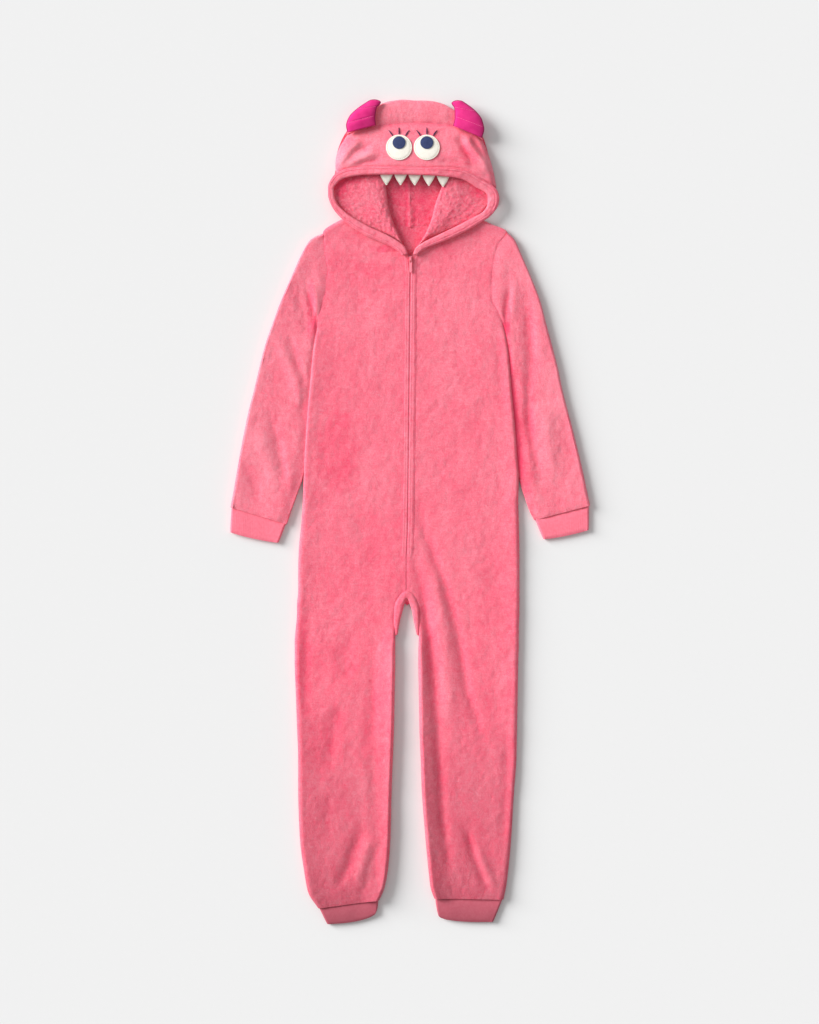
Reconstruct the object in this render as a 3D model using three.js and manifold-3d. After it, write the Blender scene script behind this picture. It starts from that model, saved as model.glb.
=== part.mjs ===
// A child's plush fleece onesie with a horned monster hood, laid flat on its back.
// Millimetres, +Z up, hood toward +Y. The origin is under the middle of the garment, on the
// surface that it lies on. "Left" is the -X side and "right" the +X side, seen from above.

import * as THREE from 'three';
import { mergeVertices } from 'three/addons/utils/BufferGeometryUtils.js';
import Module from 'manifold-3d';

// Driving sizes
const FLEECE = 4; // one layer of plush fleece with its pile
const RIB = 2.8; // one doubled layer of rib knit
const FELT = 1.6; // applied felt
const SEAM = 0.3; // gap between sewn pieces
const LOOSE = 0.7; // gap under a piece that lies on a curved panel
const EDGE_ROLL = 8; // how far in from a side the cloth rounds over
const PANEL_TOP = 9.4; // top of the front where it lies flat on the back
const EDGE_PUFF = 2.4; // how much higher the front stands near a side seam
const PUFF_REACH = 34; // how far in that rise fades out
const SLEEVE_TOP = 11.2; // top of a flattened sleeve at its edges
const SLEEVE_SINK = 1.6; // how much lower its middle lies
const CUFF_TOP = 7.4; // top of a rib cuff
const HOOD_MIDDLE = 5; // X of the middle of the hood
const HOOD_ROLL = 15; // how far in from its sides the hood rounds over
const CROWN_TOP = 13; // top of the hood at the crown seam
const BRIM_TOP = 26; // top of the hood over the middle of the face opening
const HEM_THICKNESS = 6.5; // the turned hem round the face opening
const HORN_THICKNESS = 13;
const EYE_RADIUS = 22;
const EYE_SPACING = 47; // between the middles of the eyes
const EYE_Y = 617;
const PUPIL_RADIUS = 11;
const PUPIL_RISE = 8; // how far above the eye's middle the pupil sits
const TOOTH_COUNT = 5;
const TOOTH_PITCH = 24;
const TOOTH_WIDTH = 21;
const TOOTH_LENGTH = 20;
const TAPE_THICKNESS = 1.2;
const TAPE_WIDTH = 12;
const SLIDER_Y = 429;
const SLIDER_X = 0.9;
const PULL_LENGTH = 23;
const PULL_AXIS_Z = 12.6;

const COLOURS = {
  fleece: 0xff788c,
  rib: 0xf9728a,
  horn: 0xd9237a,
  eye: 0xf6f1e4,
  pupil: 0x3c4673,
  tape: 0xe8607c,
  metal: 0xf27590,
};

// Each row is a line across one side of the front and back, from the neck down to the ankle:
// the place on the side edge, the place on the middle edge, and how far each edge is rounded
// over (0 where it is sewn to a neighbour, 1 where the cloth folds round to the back).
const BODY_LEFT = [
  { sideX: -104, sideY: 502.6, midX: -3.4, midY: 435, sideRound: 0.6, midRound: 0 },
  { sideX: -124, sideY: 493, midX: -2.9, midY: 425, sideRound: 1, midRound: 0 },
  { sideX: -148, sideY: 473, midX: -2, midY: 415, sideRound: 0.4, midRound: 0 },
  { sideX: -144, sideY: 439, midX: -0.5, midY: 401, sideRound: 0, midRound: 0 },
  { sideX: -141, sideY: 411, midX: -0.6, midY: 383, sideRound: 0, midRound: 0 },
  { sideX: -143, sideY: 379, midX: -0.8, midY: 358, sideRound: 0, midRound: 0 },
  { sideX: -150, sideY: 354, midX: -1, midY: 335, sideRound: 0, midRound: 0 },
  { sideX: -156, sideY: 332, midX: -1.2, midY: 315, sideRound: 0, midRound: 0 },
  { sideX: -158, sideY: 313, midX: -1.4, midY: 297, sideRound: 0.3, midRound: 0 },
  { sideX: -161, sideY: 291, midX: -1.6, midY: 275, sideRound: 1, midRound: 0 },
  { sideX: -165, sideY: 255, midX: -1.9, midY: 245, sideRound: 1, midRound: 0 },
  { sideX: -169, sideY: 211, midX: -2.2, midY: 204, sideRound: 1, midRound: 0 },
  { sideX: -173, sideY: 165, midX: -2.6, midY: 162, sideRound: 1, midRound: 0 },
  { sideX: -176, sideY: 122, midX: -3, midY: 121, sideRound: 1, midRound: 0 },
  { sideX: -178, sideY: 85, midX: -3.4, midY: 83, sideRound: 1, midRound: 0 },
  { sideX: -179, sideY: 51, midX: -3.8, midY: 49, sideRound: 1, midRound: 0 },
  { sideX: -182, sideY: 17, midX: -4.2, midY: 15, sideRound: 1, midRound: 0 },
  { sideX: -185, sideY: -24, midX: -4.8, midY: -24, sideRound: 1, midRound: 0 },
  { sideX: -189, sideY: -65, midX: -5.2, midY: -65, sideRound: 1, midRound: 0 },
  { sideX: -190, sideY: -102, midX: -5.2, midY: -102, sideRound: 1, midRound: 0 },
  { sideX: -190, sideY: -134, midX: -5.2, midY: -133, sideRound: 1, midRound: 0 },
  { sideX: -191, sideY: -146, midX: -13, midY: -137, sideRound: 1, midRound: 0 },
  { sideX: -192, sideY: -160, midX: -22, midY: -148, sideRound: 1, midRound: 0 },
  { sideX: -192, sideY: -173, midX: -27, midY: -166, sideRound: 1, midRound: 0 },
  { sideX: -194, sideY: -197, midX: -27.5, midY: -187, sideRound: 1, midRound: 0 },
  { sideX: -196, sideY: -221, midX: -25, midY: -210, sideRound: 1, midRound: 0.5 },
  { sideX: -196, sideY: -255, midX: -25, midY: -250, sideRound: 1, midRound: 1 },
  { sideX: -194, sideY: -309, midX: -26, midY: -309, sideRound: 1, midRound: 1 },
  { sideX: -192, sideY: -364, midX: -27, midY: -364, sideRound: 1, midRound: 1 },
  { sideX: -190, sideY: -418, midX: -29, midY: -418, sideRound: 1, midRound: 1 },
  { sideX: -190, sideY: -473, midX: -31, midY: -473, sideRound: 1, midRound: 1 },
  { sideX: -187, sideY: -554, midX: -33, midY: -551, sideRound: 1, midRound: 1 },
  { sideX: -180, sideY: -609, midX: -37, midY: -605, sideRound: 1, midRound: 1 },
  { sideX: -173, sideY: -646, midX: -44, midY: -641, sideRound: 1, midRound: 1 },
  { sideX: -156, sideY: -673, midX: -52, midY: -659, sideRound: 1, midRound: 1 },
];
const BODY_RIGHT = [
  { sideX: 114, sideY: 500.6, midX: 5.2, midY: 437, sideRound: 0.6, midRound: 0 },
  { sideX: 136, sideY: 490, midX: 4.7, midY: 425, sideRound: 1, midRound: 0 },
  { sideX: 165, sideY: 475, midX: 3.8, midY: 415, sideRound: 0.4, midRound: 0 },
  { sideX: 150, sideY: 455, midX: 2.2, midY: 401, sideRound: 0, midRound: 0 },
  { sideX: 144, sideY: 434, midX: 2, midY: 386, sideRound: 0, midRound: 0 },
  { sideX: 139, sideY: 403, midX: 1.8, midY: 360, sideRound: 0, midRound: 0 },
  { sideX: 139, sideY: 364, midX: 1.6, midY: 337, sideRound: 0, midRound: 0 },
  { sideX: 150, sideY: 340, midX: 1.4, midY: 318, sideRound: 0, midRound: 0 },
  { sideX: 158, sideY: 316, midX: 1.1, midY: 298, sideRound: 0.3, midRound: 0 },
  { sideX: 163, sideY: 291, midX: 0.9, midY: 275, sideRound: 1, midRound: 0 },
  { sideX: 167, sideY: 255, midX: 0.6, midY: 245, sideRound: 1, midRound: 0 },
  { sideX: 170, sideY: 216, midX: 0.2, midY: 207, sideRound: 1, midRound: 0 },
  { sideX: 173, sideY: 184, midX: -0.1, midY: 177, sideRound: 1, midRound: 0 },
  { sideX: 177, sideY: 139, midX: -0.6, midY: 136, sideRound: 1, midRound: 0 },
  { sideX: 180, sideY: 97, midX: -1, midY: 95, sideRound: 1, midRound: 0 },
  { sideX: 183, sideY: 54, midX: -1.6, midY: 53, sideRound: 1, midRound: 0 },
  { sideX: 184, sideY: 17, midX: -2, midY: 15, sideRound: 1, midRound: 0 },
  { sideX: 185, sideY: -24, midX: -2.4, midY: -24, sideRound: 1, midRound: 0 },
  { sideX: 186, sideY: -65, midX: -4.8, midY: -65, sideRound: 1, midRound: 0 },
  { sideX: 186, sideY: -102, midX: -4.8, midY: -102, sideRound: 1, midRound: 0 },
  { sideX: 186, sideY: -134, midX: -4.8, midY: -133, sideRound: 1, midRound: 0 },
  { sideX: 186, sideY: -146, midX: 4, midY: -138, sideRound: 1, midRound: 0 },
  { sideX: 186, sideY: -160, midX: 11, midY: -150, sideRound: 1, midRound: 0 },
  { sideX: 186, sideY: -173, midX: 15, midY: -164, sideRound: 1, midRound: 0 },
  { sideX: 185, sideY: -197, midX: 16, midY: -184, sideRound: 1, midRound: 0 },
  { sideX: 185, sideY: -221, midX: 15, midY: -210, sideRound: 1, midRound: 0.5 },
  { sideX: 184, sideY: -255, midX: 14, midY: -250, sideRound: 1, midRound: 1 },
  { sideX: 183, sideY: -309, midX: 15, midY: -309, sideRound: 1, midRound: 1 },
  { sideX: 182, sideY: -364, midX: 16, midY: -364, sideRound: 1, midRound: 1 },
  { sideX: 181, sideY: -418, midX: 18, midY: -418, sideRound: 1, midRound: 1 },
  { sideX: 177, sideY: -473, midX: 20, midY: -473, sideRound: 1, midRound: 1 },
  { sideX: 172, sideY: -554, midX: 26, midY: -551, sideRound: 1, midRound: 1 },
  { sideX: 167, sideY: -609, midX: 31, midY: -605, sideRound: 1, midRound: 1 },
  { sideX: 163, sideY: -639, midX: 35, midY: -638, sideRound: 1, midRound: 1 },
  { sideX: 159, sideY: -658, midX: 41, midY: -656, sideRound: 1, midRound: 1 },
];
const ARMHOLE_FIRST_ROW = 2; // the shoulder point, in the tables above
const ARMHOLE_LAST_ROW = 8; // the underarm point
const GUSSET_FIRST_ROW = 20; // where the crotch piece starts on the middle edge
const GUSSET_LAST_ROW = 25; // where it ends

// Each row is a line across a sleeve, from its outer edge to its edge beside the body.
const SLEEVE_LEFT = [
  { outX: -149, outY: 473, inX: -159, inY: 312 },
  { outX: -168, outY: 464, inX: -162, inY: 304 },
  { outX: -184, outY: 439, inX: -163, inY: 290 },
  { outX: -202, outY: 398, inX: -166, inY: 266 },
  { outX: -219, outY: 359, inX: -169, inY: 239 },
  { outX: -233, outY: 321, inX: -171.5, inY: 207 },
  { outX: -246, outY: 284, inX: -174.5, inY: 177 },
  { outX: -256, outY: 245, inX: -177, inY: 139 },
  { outX: -265, outY: 207, inX: -179.5, inY: 105 },
  { outX: -274, outY: 172, inX: -181, inY: 78 },
  { outX: -282, outY: 134, inX: -184, inY: 56 },
  { outX: -289, outY: 97, inX: -189, inY: 38 },
  { outX: -295, outY: 63, inX: -196, inY: 17 },
  { outX: -300, outY: 34, inX: -203, inY: -3 },
  { outX: -305, outY: 8, inX: -209, inY: -21 },
];
const SLEEVE_RIGHT = [
  { outX: 166, outY: 475, inX: 160, inY: 314 },
  { outX: 178, outY: 463, inX: 163, inY: 304 },
  { outX: 190, outY: 436, inX: 165, inY: 289 },
  { outX: 206, outY: 398, inX: 168, inY: 264 },
  { outX: 221, outY: 359, inX: 171, inY: 236 },
  { outX: 231, outY: 321, inX: 174, inY: 204 },
  { outX: 241, outY: 284, inX: 177, inY: 173 },
  { outX: 251, outY: 245, inX: 180, inY: 139 },
  { outX: 259, outY: 207, inX: 183, inY: 105 },
  { outX: 268, outY: 172, inX: 185, inY: 76 },
  { outX: 278, outY: 134, inX: 187, inY: 56 },
  { outX: 287, outY: 97, inX: 191, inY: 37 },
  { outX: 295, outY: 63, inX: 198, inY: 15 },
  { outX: 301, outY: 34, inX: 205, inY: -3 },
  { outX: 306, outY: 11, inX: 211, inY: -14 },
];

// The far end of each rib cuff; its near end follows the hem that it is sewn to.
const CUFF_ENDS = {
  cuff_sleeve_left: { outX: -306, outY: -35, inX: -223, inY: -53 },
  cuff_sleeve_right: { outX: 304, outY: -31, inX: 226, inY: -47 },
  cuff_leg_left: { outX: -141, outY: -700, inX: -54, inY: -684 },
  cuff_leg_right: { outX: 142, outY: -696, inX: 46, inY: -690 },
};

// The crotch piece, from the left leg over the top of the arch to the right leg: its seam edge
// is the body's own middle edge, and this is its folded edge.
const GUSSET_FOLD = [
  { x: -21, y: -208 },
  { x: -17, y: -186 },
  { x: -12.5, y: -168 },
  { x: -9.5, y: -157 },
  { x: -7.5, y: -150.5 },
  { x: -5, y: -148 },
  { x: -2.5, y: -150.5 },
  { x: 0, y: -157 },
  { x: 3.5, y: -168 },
  { x: 6.5, y: -185 },
  { x: 11, y: -208 },
];

// The crown seam of the hood, from its left end to its right end.
const CROWN_SEAM = [
  { x: -106, y: 641 }, { x: -84, y: 648.5 }, { x: -60, y: 654 }, { x: -37, y: 657 },
  { x: -15, y: 659 }, { x: 8, y: 659.5 }, { x: 34, y: 659 }, { x: 54, y: 657.5 },
  { x: 74, y: 654.5 }, { x: 92, y: 648 }, { x: 108, y: 641 }, { x: 123, y: 631.5 },
];
const CROWN_MIDDLE = 5; // the point of the crown seam where the two backs of the hood meet

// The back of the hood, from the neck seam up to the top of the crown, where the cloth turns over.
// Each row is a line from the centre-back seam to the outline; bow is how far the line bulges
// toward the crown.
const HOOD_BACK_LEFT = [
  { midX: 0.7, midY: 483.6, sideX: -104, sideY: 503.2, bow: 0 },
  { midX: 0.4, midY: 505, sideX: -128, sideY: 520, bow: 0 },
  { midX: 0, midY: 536, sideX: -138, sideY: 544, bow: 0 },
  { midX: 0.6, midY: 578, sideX: -127, sideY: 578, bow: 0 },
  { midX: 2, midY: 624, sideX: -124, sideY: 608, bow: 6 },
  { midX: 3.5, midY: 665, sideX: -116, sideY: 632, bow: 15 },
  { midX: 5, midY: 699, sideX: -107, sideY: 648, bow: 18.5 },
];
const HOOD_BACK_RIGHT = [
  { midX: 1, midY: 483.6, sideX: 114, sideY: 501.2, bow: 0 },
  { midX: 0.7, midY: 505, sideX: 139, sideY: 518, bow: 0 },
  { midX: 0.3, midY: 536, sideX: 148, sideY: 536, bow: 0 },
  { midX: 0.9, midY: 578, sideX: 136, sideY: 578, bow: 0 },
  { midX: 2.3, midY: 624, sideX: 133, sideY: 606, bow: 6 },
  { midX: 3.8, midY: 665, sideX: 128, sideY: 626, bow: 15 },
  { midX: 5.3, midY: 699, sideX: 122, sideY: 642, bow: 19 },
];

// The brim end of the face band, below each point of the crown seam; bow is how far the line
// between the two bulges outward at the sides.
const FACE_BRIM = [
  { x: -125, y: 579, bow: 8 }, { x: -98, y: 585, bow: 3 }, { x: -69, y: 586.5, bow: 0 },
  { x: -44, y: 587, bow: 0 }, { x: -18, y: 586, bow: 0 }, { x: 8, y: 584.5, bow: 0 },
  { x: 36, y: 584.5, bow: 0 }, { x: 62, y: 585, bow: 0 }, { x: 84, y: 583.5, bow: 0 },
  { x: 105, y: 576.5, bow: -2 }, { x: 126, y: 565.5, bow: -3 }, { x: 146, y: 554, bow: -3.5 },
];

// The turned hem round the face opening, from the zip up the left side, over the face and down the
// right side: its outer edge, its inner edge and the height of its top.
const HOOD_HEM = [
  { outX: -14, outY: 435, inX: -3.4, inY: 437.5, top: 17 },
  { outX: -18, outY: 440, inX: -7.5, inY: 448, top: 17.5 },
  { outX: -30, outY: 448.5, inX: -18.5, inY: 458, top: 17.5 },
  { outX: -50, outY: 458, inX: -39, inY: 470, top: 17.5 },
  { outX: -78, outY: 470, inX: -69, inY: 484, top: 17.5 },
  { outX: -105, outY: 488, inX: -93, inY: 497, top: 18 },
  { outX: -122, outY: 503.5, inX: -110, inY: 509, top: 18 },
  { outX: -133, outY: 519, inX: -122, inY: 521.5, top: 18 },
  { outX: -139, outY: 537, inX: -128, inY: 536, top: 18 },
  { outX: -139, outY: 551, inX: -129, inY: 548, top: 18 },
  { outX: -134, outY: 564, inX: -123, inY: 557.5, top: 18.5 },
  { outX: -124, outY: 575, inX: -114, inY: 564, top: 20 },
  { outX: -103, outY: 582.5, inX: -94, inY: 569, top: 22.5 },
  { outX: -73, outY: 585, inX: -68, inY: 571, top: 25.5 },
  { outX: -44, outY: 585.5, inX: -44, inY: 571, top: 27 },
  { outX: -17, outY: 584, inX: -17, inY: 571, top: 27.5 },
  { outX: 8, outY: 583, inX: 8, inY: 570.5, top: 27.5 },
  { outX: 36, outY: 583, inX: 36, inY: 569.5, top: 27.5 },
  { outX: 62, outY: 583.5, inX: 62, inY: 567.5, top: 26.5 },
  { outX: 86, outY: 581.5, inX: 82, inY: 565, top: 24.5 },
  { outX: 105, outY: 574.5, inX: 97, inY: 559.5, top: 22 },
  { outX: 124, outY: 563.5, inX: 112, inY: 550, top: 19.5 },
  { outX: 141, outY: 553, inX: 125, inY: 543, top: 18 },
  { outX: 149, outY: 543, inX: 131, inY: 537, top: 18 },
  { outX: 151.5, outY: 531, inX: 132, inY: 529, top: 18 },
  { outX: 150, outY: 521, inX: 131, inY: 520.5, top: 18 },
  { outX: 138, outY: 503.5, inX: 124, inY: 509.5, top: 18 },
  { outX: 114, outY: 487, inX: 103, inY: 497.5, top: 18 },
  { outX: 81, outY: 469, inX: 75, inY: 483, top: 17.5 },
  { outX: 50, outY: 456, inX: 46, inY: 469, top: 17.5 },
  { outX: 29, outY: 448, inX: 23, inY: 457.5, top: 17.5 },
  { outX: 16, outY: 440, inX: 9.5, inY: 447.5, top: 17.5 },
  { outX: 12.5, outY: 435, inX: 5.2, inY: 437.5, top: 17 },
];

// The hood's side cloth, folded in over its back at each side of the neck: the free fold, the
// edge under the hem, and the height of the fold.
const HOOD_FOLD_LEFT = [
  { foldX: -47, foldY: 596, underX: -98, underY: 583, top: 12 },
  { foldX: -43, foldY: 571, underX: -113, underY: 567, top: 14 },
  { foldX: -41, foldY: 554, underX: -119, underY: 548, top: 15 },
  { foldX: -39, foldY: 537, underX: -118, underY: 532, top: 15 },
  { foldX: -37, foldY: 520, underX: -112, underY: 517, top: 15 },
  { foldX: -32, foldY: 502, underX: -98, underY: 504, top: 15 },
  { foldX: -22, foldY: 476, underX: -58, underY: 480, top: 14 },
  { foldX: -16.5, foldY: 462, underX: -30, underY: 467, top: 12 },
  { foldX: -11.5, foldY: 453, underX: -17, underY: 459, top: 9.5 },
];
const HOOD_FOLD_RIGHT = [
  { foldX: 59, foldY: 596, underX: 108, underY: 576, top: 12 },
  { foldX: 56, foldY: 571, underX: 120, underY: 556, top: 14 },
  { foldX: 54, foldY: 554, underX: 128, underY: 541, top: 15 },
  { foldX: 48, foldY: 537, underX: 129, underY: 527, top: 15 },
  { foldX: 42, foldY: 520, underX: 121, underY: 514, top: 15 },
  { foldX: 38, foldY: 502, underX: 107, underY: 503, top: 15 },
  { foldX: 29, foldY: 478, underX: 66, underY: 480, top: 14 },
  { foldX: 18.5, foldY: 459, underX: 33, underY: 464, top: 12 },
  { foldX: 12, foldY: 449, underX: 18, underY: 455, top: 9.5 },
];

// A padded horn, from its base in the crown seam to its tip: its outer edge, its inner edge and
// how much of the full thickness is there.
const HORN_LEFT = [
  { outX: -105, outY: 643, inX: -59, inY: 655, full: 0.8 },
  { outX: -107, outY: 655, inX: -60, inY: 668, full: 1 },
  { outX: -102, outY: 669, inX: -59, inY: 678, full: 0.95 },
  { outX: -90, outY: 681.5, inX: -57, inY: 686, full: 0.8 },
  { outX: -76, outY: 690.5, inX: -54, inY: 692.5, full: 0.6 },
  { outX: -63, outY: 696.5, inX: -51.5, inY: 696, full: 0.4 },
  { outX: -57, outY: 698.6, inX: -52, inY: 697.6, full: 0.2 },
];
const HORN_RIGHT = [
  { outX: 121, outY: 634, inX: 74, inY: 654, full: 0.8 },
  { outX: 124.5, outY: 648, inX: 77, inY: 667, full: 1 },
  { outX: 121, outY: 664, inX: 77, inY: 677, full: 0.95 },
  { outX: 111.5, outY: 677.5, inX: 76, inY: 685, full: 0.8 },
  { outX: 97, outY: 688, inX: 73.5, inY: 691.5, full: 0.6 },
  { outX: 83, outY: 695.5, inX: 72, inY: 695, full: 0.4 },
  { outX: 77.5, outY: 697.6, inX: 73, inY: 696.6, full: 0.2 },
];

// The largest folds, each a soft ridge along a line: its two ends, its half width and its height.
const BODY_FOLDS = [
  { fromX: 24, fromY: -92, toX: 66, toY: -310, spread: 15, height: 4.2 },
  { fromX: 66, fromY: -300, toX: 92, toY: -520, spread: 16, height: 2.2 },
  { fromX: 118, fromY: -560, toX: 128, toY: -640, spread: 10, height: 2.6 },
  { fromX: -96, fromY: -560, toX: -92, toY: -640, spread: 12, height: 2.6 },
  { fromX: -66, fromY: -520, toX: -62, toY: -630, spread: 12, height: 1.8 },
];
const SLEEVE_FOLDS = [
  { fromX: -176, fromY: 415, toX: -180, toY: 330, spread: 11, height: 4 },
  { fromX: -204, fromY: 250, toX: -196, toY: 150, spread: 14, height: 3 },
  { fromX: 182, fromY: 420, toX: 184, toY: 330, spread: 11, height: 4 },
  { fromX: 236, fromY: 120, toX: 244, toY: 30, spread: 16, height: 2.6 },
];
const HOOD_FOLDS = [
  { fromX: -122, fromY: 590, toX: -82, toY: 636, spread: 8, height: 3.6 },
  { fromX: -110, fromY: 584, toX: -54, toY: 612, spread: 8, height: 3 },
  { fromX: 90, fromY: 644, toX: 132, toY: 576, spread: 9, height: 4 },
];

const mix = (from, to, share) => from + (to - from) * share;

// How high the folds of one table stand at a place.
function foldHeight(folds, x, y) {
  let height = 0;
  for (const fold of folds) {
    const alongX = fold.toX - fold.fromX;
    const alongY = fold.toY - fold.fromY;
    const lengthSquared = alongX * alongX + alongY * alongY;
    const share = ((x - fold.fromX) * alongX + (y - fold.fromY) * alongY) / lengthSquared;
    if (share <= 0 || share >= 1) continue;
    const offX = x - fold.fromX - share * alongX;
    const offY = y - fold.fromY - share * alongY;
    const across = Math.hypot(offX, offY) / fold.spread;
    height += fold.height * Math.exp(-across * across) * Math.sin(Math.PI * share);
  }
  return height;
}

// A closed body from its points and its triangles, turned so that its faces point out.
function closedBody(points, triangles) {
  let volume = 0;
  for (const [a, b, c] of triangles) {
    const [p, q, r] = [points[a], points[b], points[c]];
    volume += p[0] * (q[1] * r[2] - q[2] * r[1]);
    volume += p[1] * (q[2] * r[0] - q[0] * r[2]);
    volume += p[2] * (q[0] * r[1] - q[1] * r[0]);
  }
  const outward = volume > 0 ? triangles : triangles.map(([a, b, c]) => [a, c, b]);
  const geometry = new THREE.BufferGeometry();
  geometry.setAttribute('position', new THREE.Float32BufferAttribute(points.flat(), 3));
  geometry.setIndex(outward.flat());
  geometry.computeVertexNormals();
  return geometry;
}

function quad(a, b, c, d) {
  return [[a, b, c], [a, c, d]];
}

// A wall between two grids of points with the same rows and columns, closed round its edge.
function wall(outer, inner) {
  const rows = outer.length;
  const columns = outer[0].length;
  const points = [...outer.flat(), ...inner.flat()];
  const out = (row, column) => row * columns + column;
  const under = (row, column) => rows * columns + out(row, column);
  const triangles = [];
  for (let row = 0; row < rows - 1; row += 1) {
    const next = row + 1;
    for (let left = 0; left < columns - 1; left += 1) {
      const right = left + 1;
      triangles.push(...quad(out(row, left), out(row, right), out(next, right), out(next, left)));
      triangles.push(...quad(under(row, left), under(next, left), under(next, right), under(row, right)));
    }
    const end = columns - 1;
    triangles.push(...quad(out(row, 0), out(next, 0), under(next, 0), under(row, 0)));
    triangles.push(...quad(out(row, end), under(row, end), under(next, end), out(next, end)));
  }
  for (let left = 0; left < columns - 1; left += 1) {
    const right = left + 1;
    const end = rows - 1;
    triangles.push(...quad(out(0, left), under(0, left), under(0, right), out(0, right)));
    triangles.push(...quad(out(end, left), out(end, right), under(end, right), under(end, left)));
  }
  return closedBody(points, triangles);
}

// A tube wall between two stacks of closed rings, open at both ends.
function tubeWall(outer, inner) {
  const rows = outer.length;
  const around = outer[0].length;
  const points = [...outer.flat(), ...inner.flat()];
  const out = (row, step) => row * around + (step % around);
  const under = (row, step) => rows * around + out(row, step);
  const triangles = [];
  for (let left = 0; left < around; left += 1) {
    const right = left + 1;
    for (let row = 0; row < rows - 1; row += 1) {
      const next = row + 1;
      triangles.push(...quad(out(row, left), out(row, right), out(next, right), out(next, left)));
      triangles.push(...quad(under(row, left), under(next, left), under(next, right), under(row, right)));
    }
    const end = rows - 1;
    triangles.push(...quad(out(0, left), under(0, left), under(0, right), out(0, right)));
    triangles.push(...quad(out(end, left), out(end, right), under(end, right), under(end, left)));
  }
  return closedBody(points, triangles);
}

// The two ends of a lofted solid, as triangles between the steps of a ring: a fan for a ring
// that is convex, and strips that pair the points from both ends of its list for one that is not.
function fanEnd(around) {
  const triangles = [];
  for (let step = 1; step < around - 1; step += 1) triangles.push([0, step + 1, step]);
  return triangles;
}

function stripEnd(around) {
  const triangles = [];
  for (let step = 0; step < around / 2 - 1; step += 1) {
    const back = around - 1 - step;
    triangles.push(...quad(step, back, back - 1, step + 1));
  }
  return triangles;
}

// A solid through a stack of closed rings.
function loft(rings, endOf = fanEnd) {
  const around = rings[0].length;
  const points = rings.flat();
  const at = (row, step) => row * around + (step % around);
  const last = rings.length - 1;
  const triangles = [];
  for (let row = 0; row < last; row += 1) {
    for (let step = 0; step < around; step += 1) {
      triangles.push(...quad(at(row, step), at(row, step + 1), at(row + 1, step + 1), at(row + 1, step)));
    }
  }
  for (const [a, b, c] of endOf(around)) {
    triangles.push([at(0, a), at(0, b), at(0, c)]);
    triangles.push([at(last, a), at(last, c), at(last, b)]);
  }
  return closedBody(points, triangles);
}

// How a rounded edge rises: the share of its full height and the lean of its outward direction,
// at a distance in from the edge.
function roundedEdge(distance, reach, amount) {
  const cosine = Math.max(0, 1 - distance / reach);
  const angle = Math.acos(cosine);
  return { rise: mix(1, Math.sin(angle), amount), lean: mix(Math.PI / 2, angle, amount) };
}

// Front panels: a wall over the back, rounded down to it at the side seam and the inseam, with a
// turned and stitched ridge beside the zip.
const SIDE_DISTANCES = [0, 1, 3.5, EDGE_ROLL];
const MID_DISTANCES = [10, 7, 3.5, 1, 0];
const ZIP_RIDGE = [0.3, 1.6, 2.1, 1.8, 1.2];
const NECK_RIDGE = 0.4; // the share of that ridge left under the hood's hem, in the first two rows
const FLAT_SHARES = [0.12, 0.26, 0.42, 0.58, 0.74, 0.89];
const INSEAM_ROLL = 7;

function frontPanel(rows) {
  const outer = [];
  const inner = [];
  rows.forEach((row, rowIndex) => {
    const width = Math.hypot(row.midX - row.sideX, row.midY - row.sideY);
    const alongX = (row.midX - row.sideX) / width;
    const alongY = (row.midY - row.sideY) / width;
    const flat = width - EDGE_ROLL - MID_DISTANCES[0];
    const distances = [
      ...SIDE_DISTANCES,
      ...FLAT_SHARES.map((share) => EDGE_ROLL + share * flat),
      ...MID_DISTANCES.map((distance) => width - distance),
    ];
    const foot = FLEECE + SEAM;
    const outerRow = [];
    const innerRow = [];
    distances.forEach((distance, column) => {
      const fromMid = width - distance;
      const x = row.sideX + alongX * distance;
      const y = row.sideY + alongY * distance;
      const midColumn = column - (distances.length - MID_DISTANCES.length);
      const ridgeShare = rowIndex < 2 ? NECK_RIDGE : 1;
      const besideZip = midColumn >= 0 && rowIndex < GUSSET_FIRST_ROW - 2;
      const ridge = besideZip ? ZIP_RIDGE[midColumn] * ridgeShare : 0;
      const sidePuff = row.sideRound * Math.max(0, 1 - distance / PUFF_REACH);
      const midPuff = row.midRound * Math.max(0, 1 - fromMid / PUFF_REACH);
      const puff = EDGE_PUFF * Math.max(sidePuff, midPuff);
      const top = PANEL_TOP + puff + ridge + foldHeight(BODY_FOLDS, x, y);
      const side = roundedEdge(distance, EDGE_ROLL, row.sideRound);
      const mid = roundedEdge(fromMid, INSEAM_ROLL, row.midRound);
      const z = foot + (top - foot) * side.rise * mid.rise;
      const shift = FLEECE * (Math.cos(side.lean) - Math.cos(mid.lean));
      const drop = FLEECE * Math.sin(side.lean) * Math.sin(mid.lean);
      outerRow.push([x, y, z]);
      innerRow.push([x + alongX * shift, y + alongY * shift, z - drop]);
    });
    outer.push(outerRow);
    inner.push(innerRow);
  });
  return wall(outer, inner);
}

// Back panels: flat on the surface, eased up a little at the folded edges.
const BACK_EDGE = 2.2;
const BACK_EASE = 1.4;

// The back's own middle edge: it reaches up to the hood at the neck, and its seam is closed where
// the front has the zip.
const BACK_NECK_Y = 483.2;

function backRows(rows, side) {
  return rows.map((row, index) => {
    if (index > GUSSET_FIRST_ROW) return row;
    const seamX = mix(BODY_LEFT[index].midX, BODY_RIGHT[index].midX, 0.5) + side * SEAM / 2;
    return { ...row, midX: seamX, midY: index === 0 ? BACK_NECK_Y : row.midY };
  });
}

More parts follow.
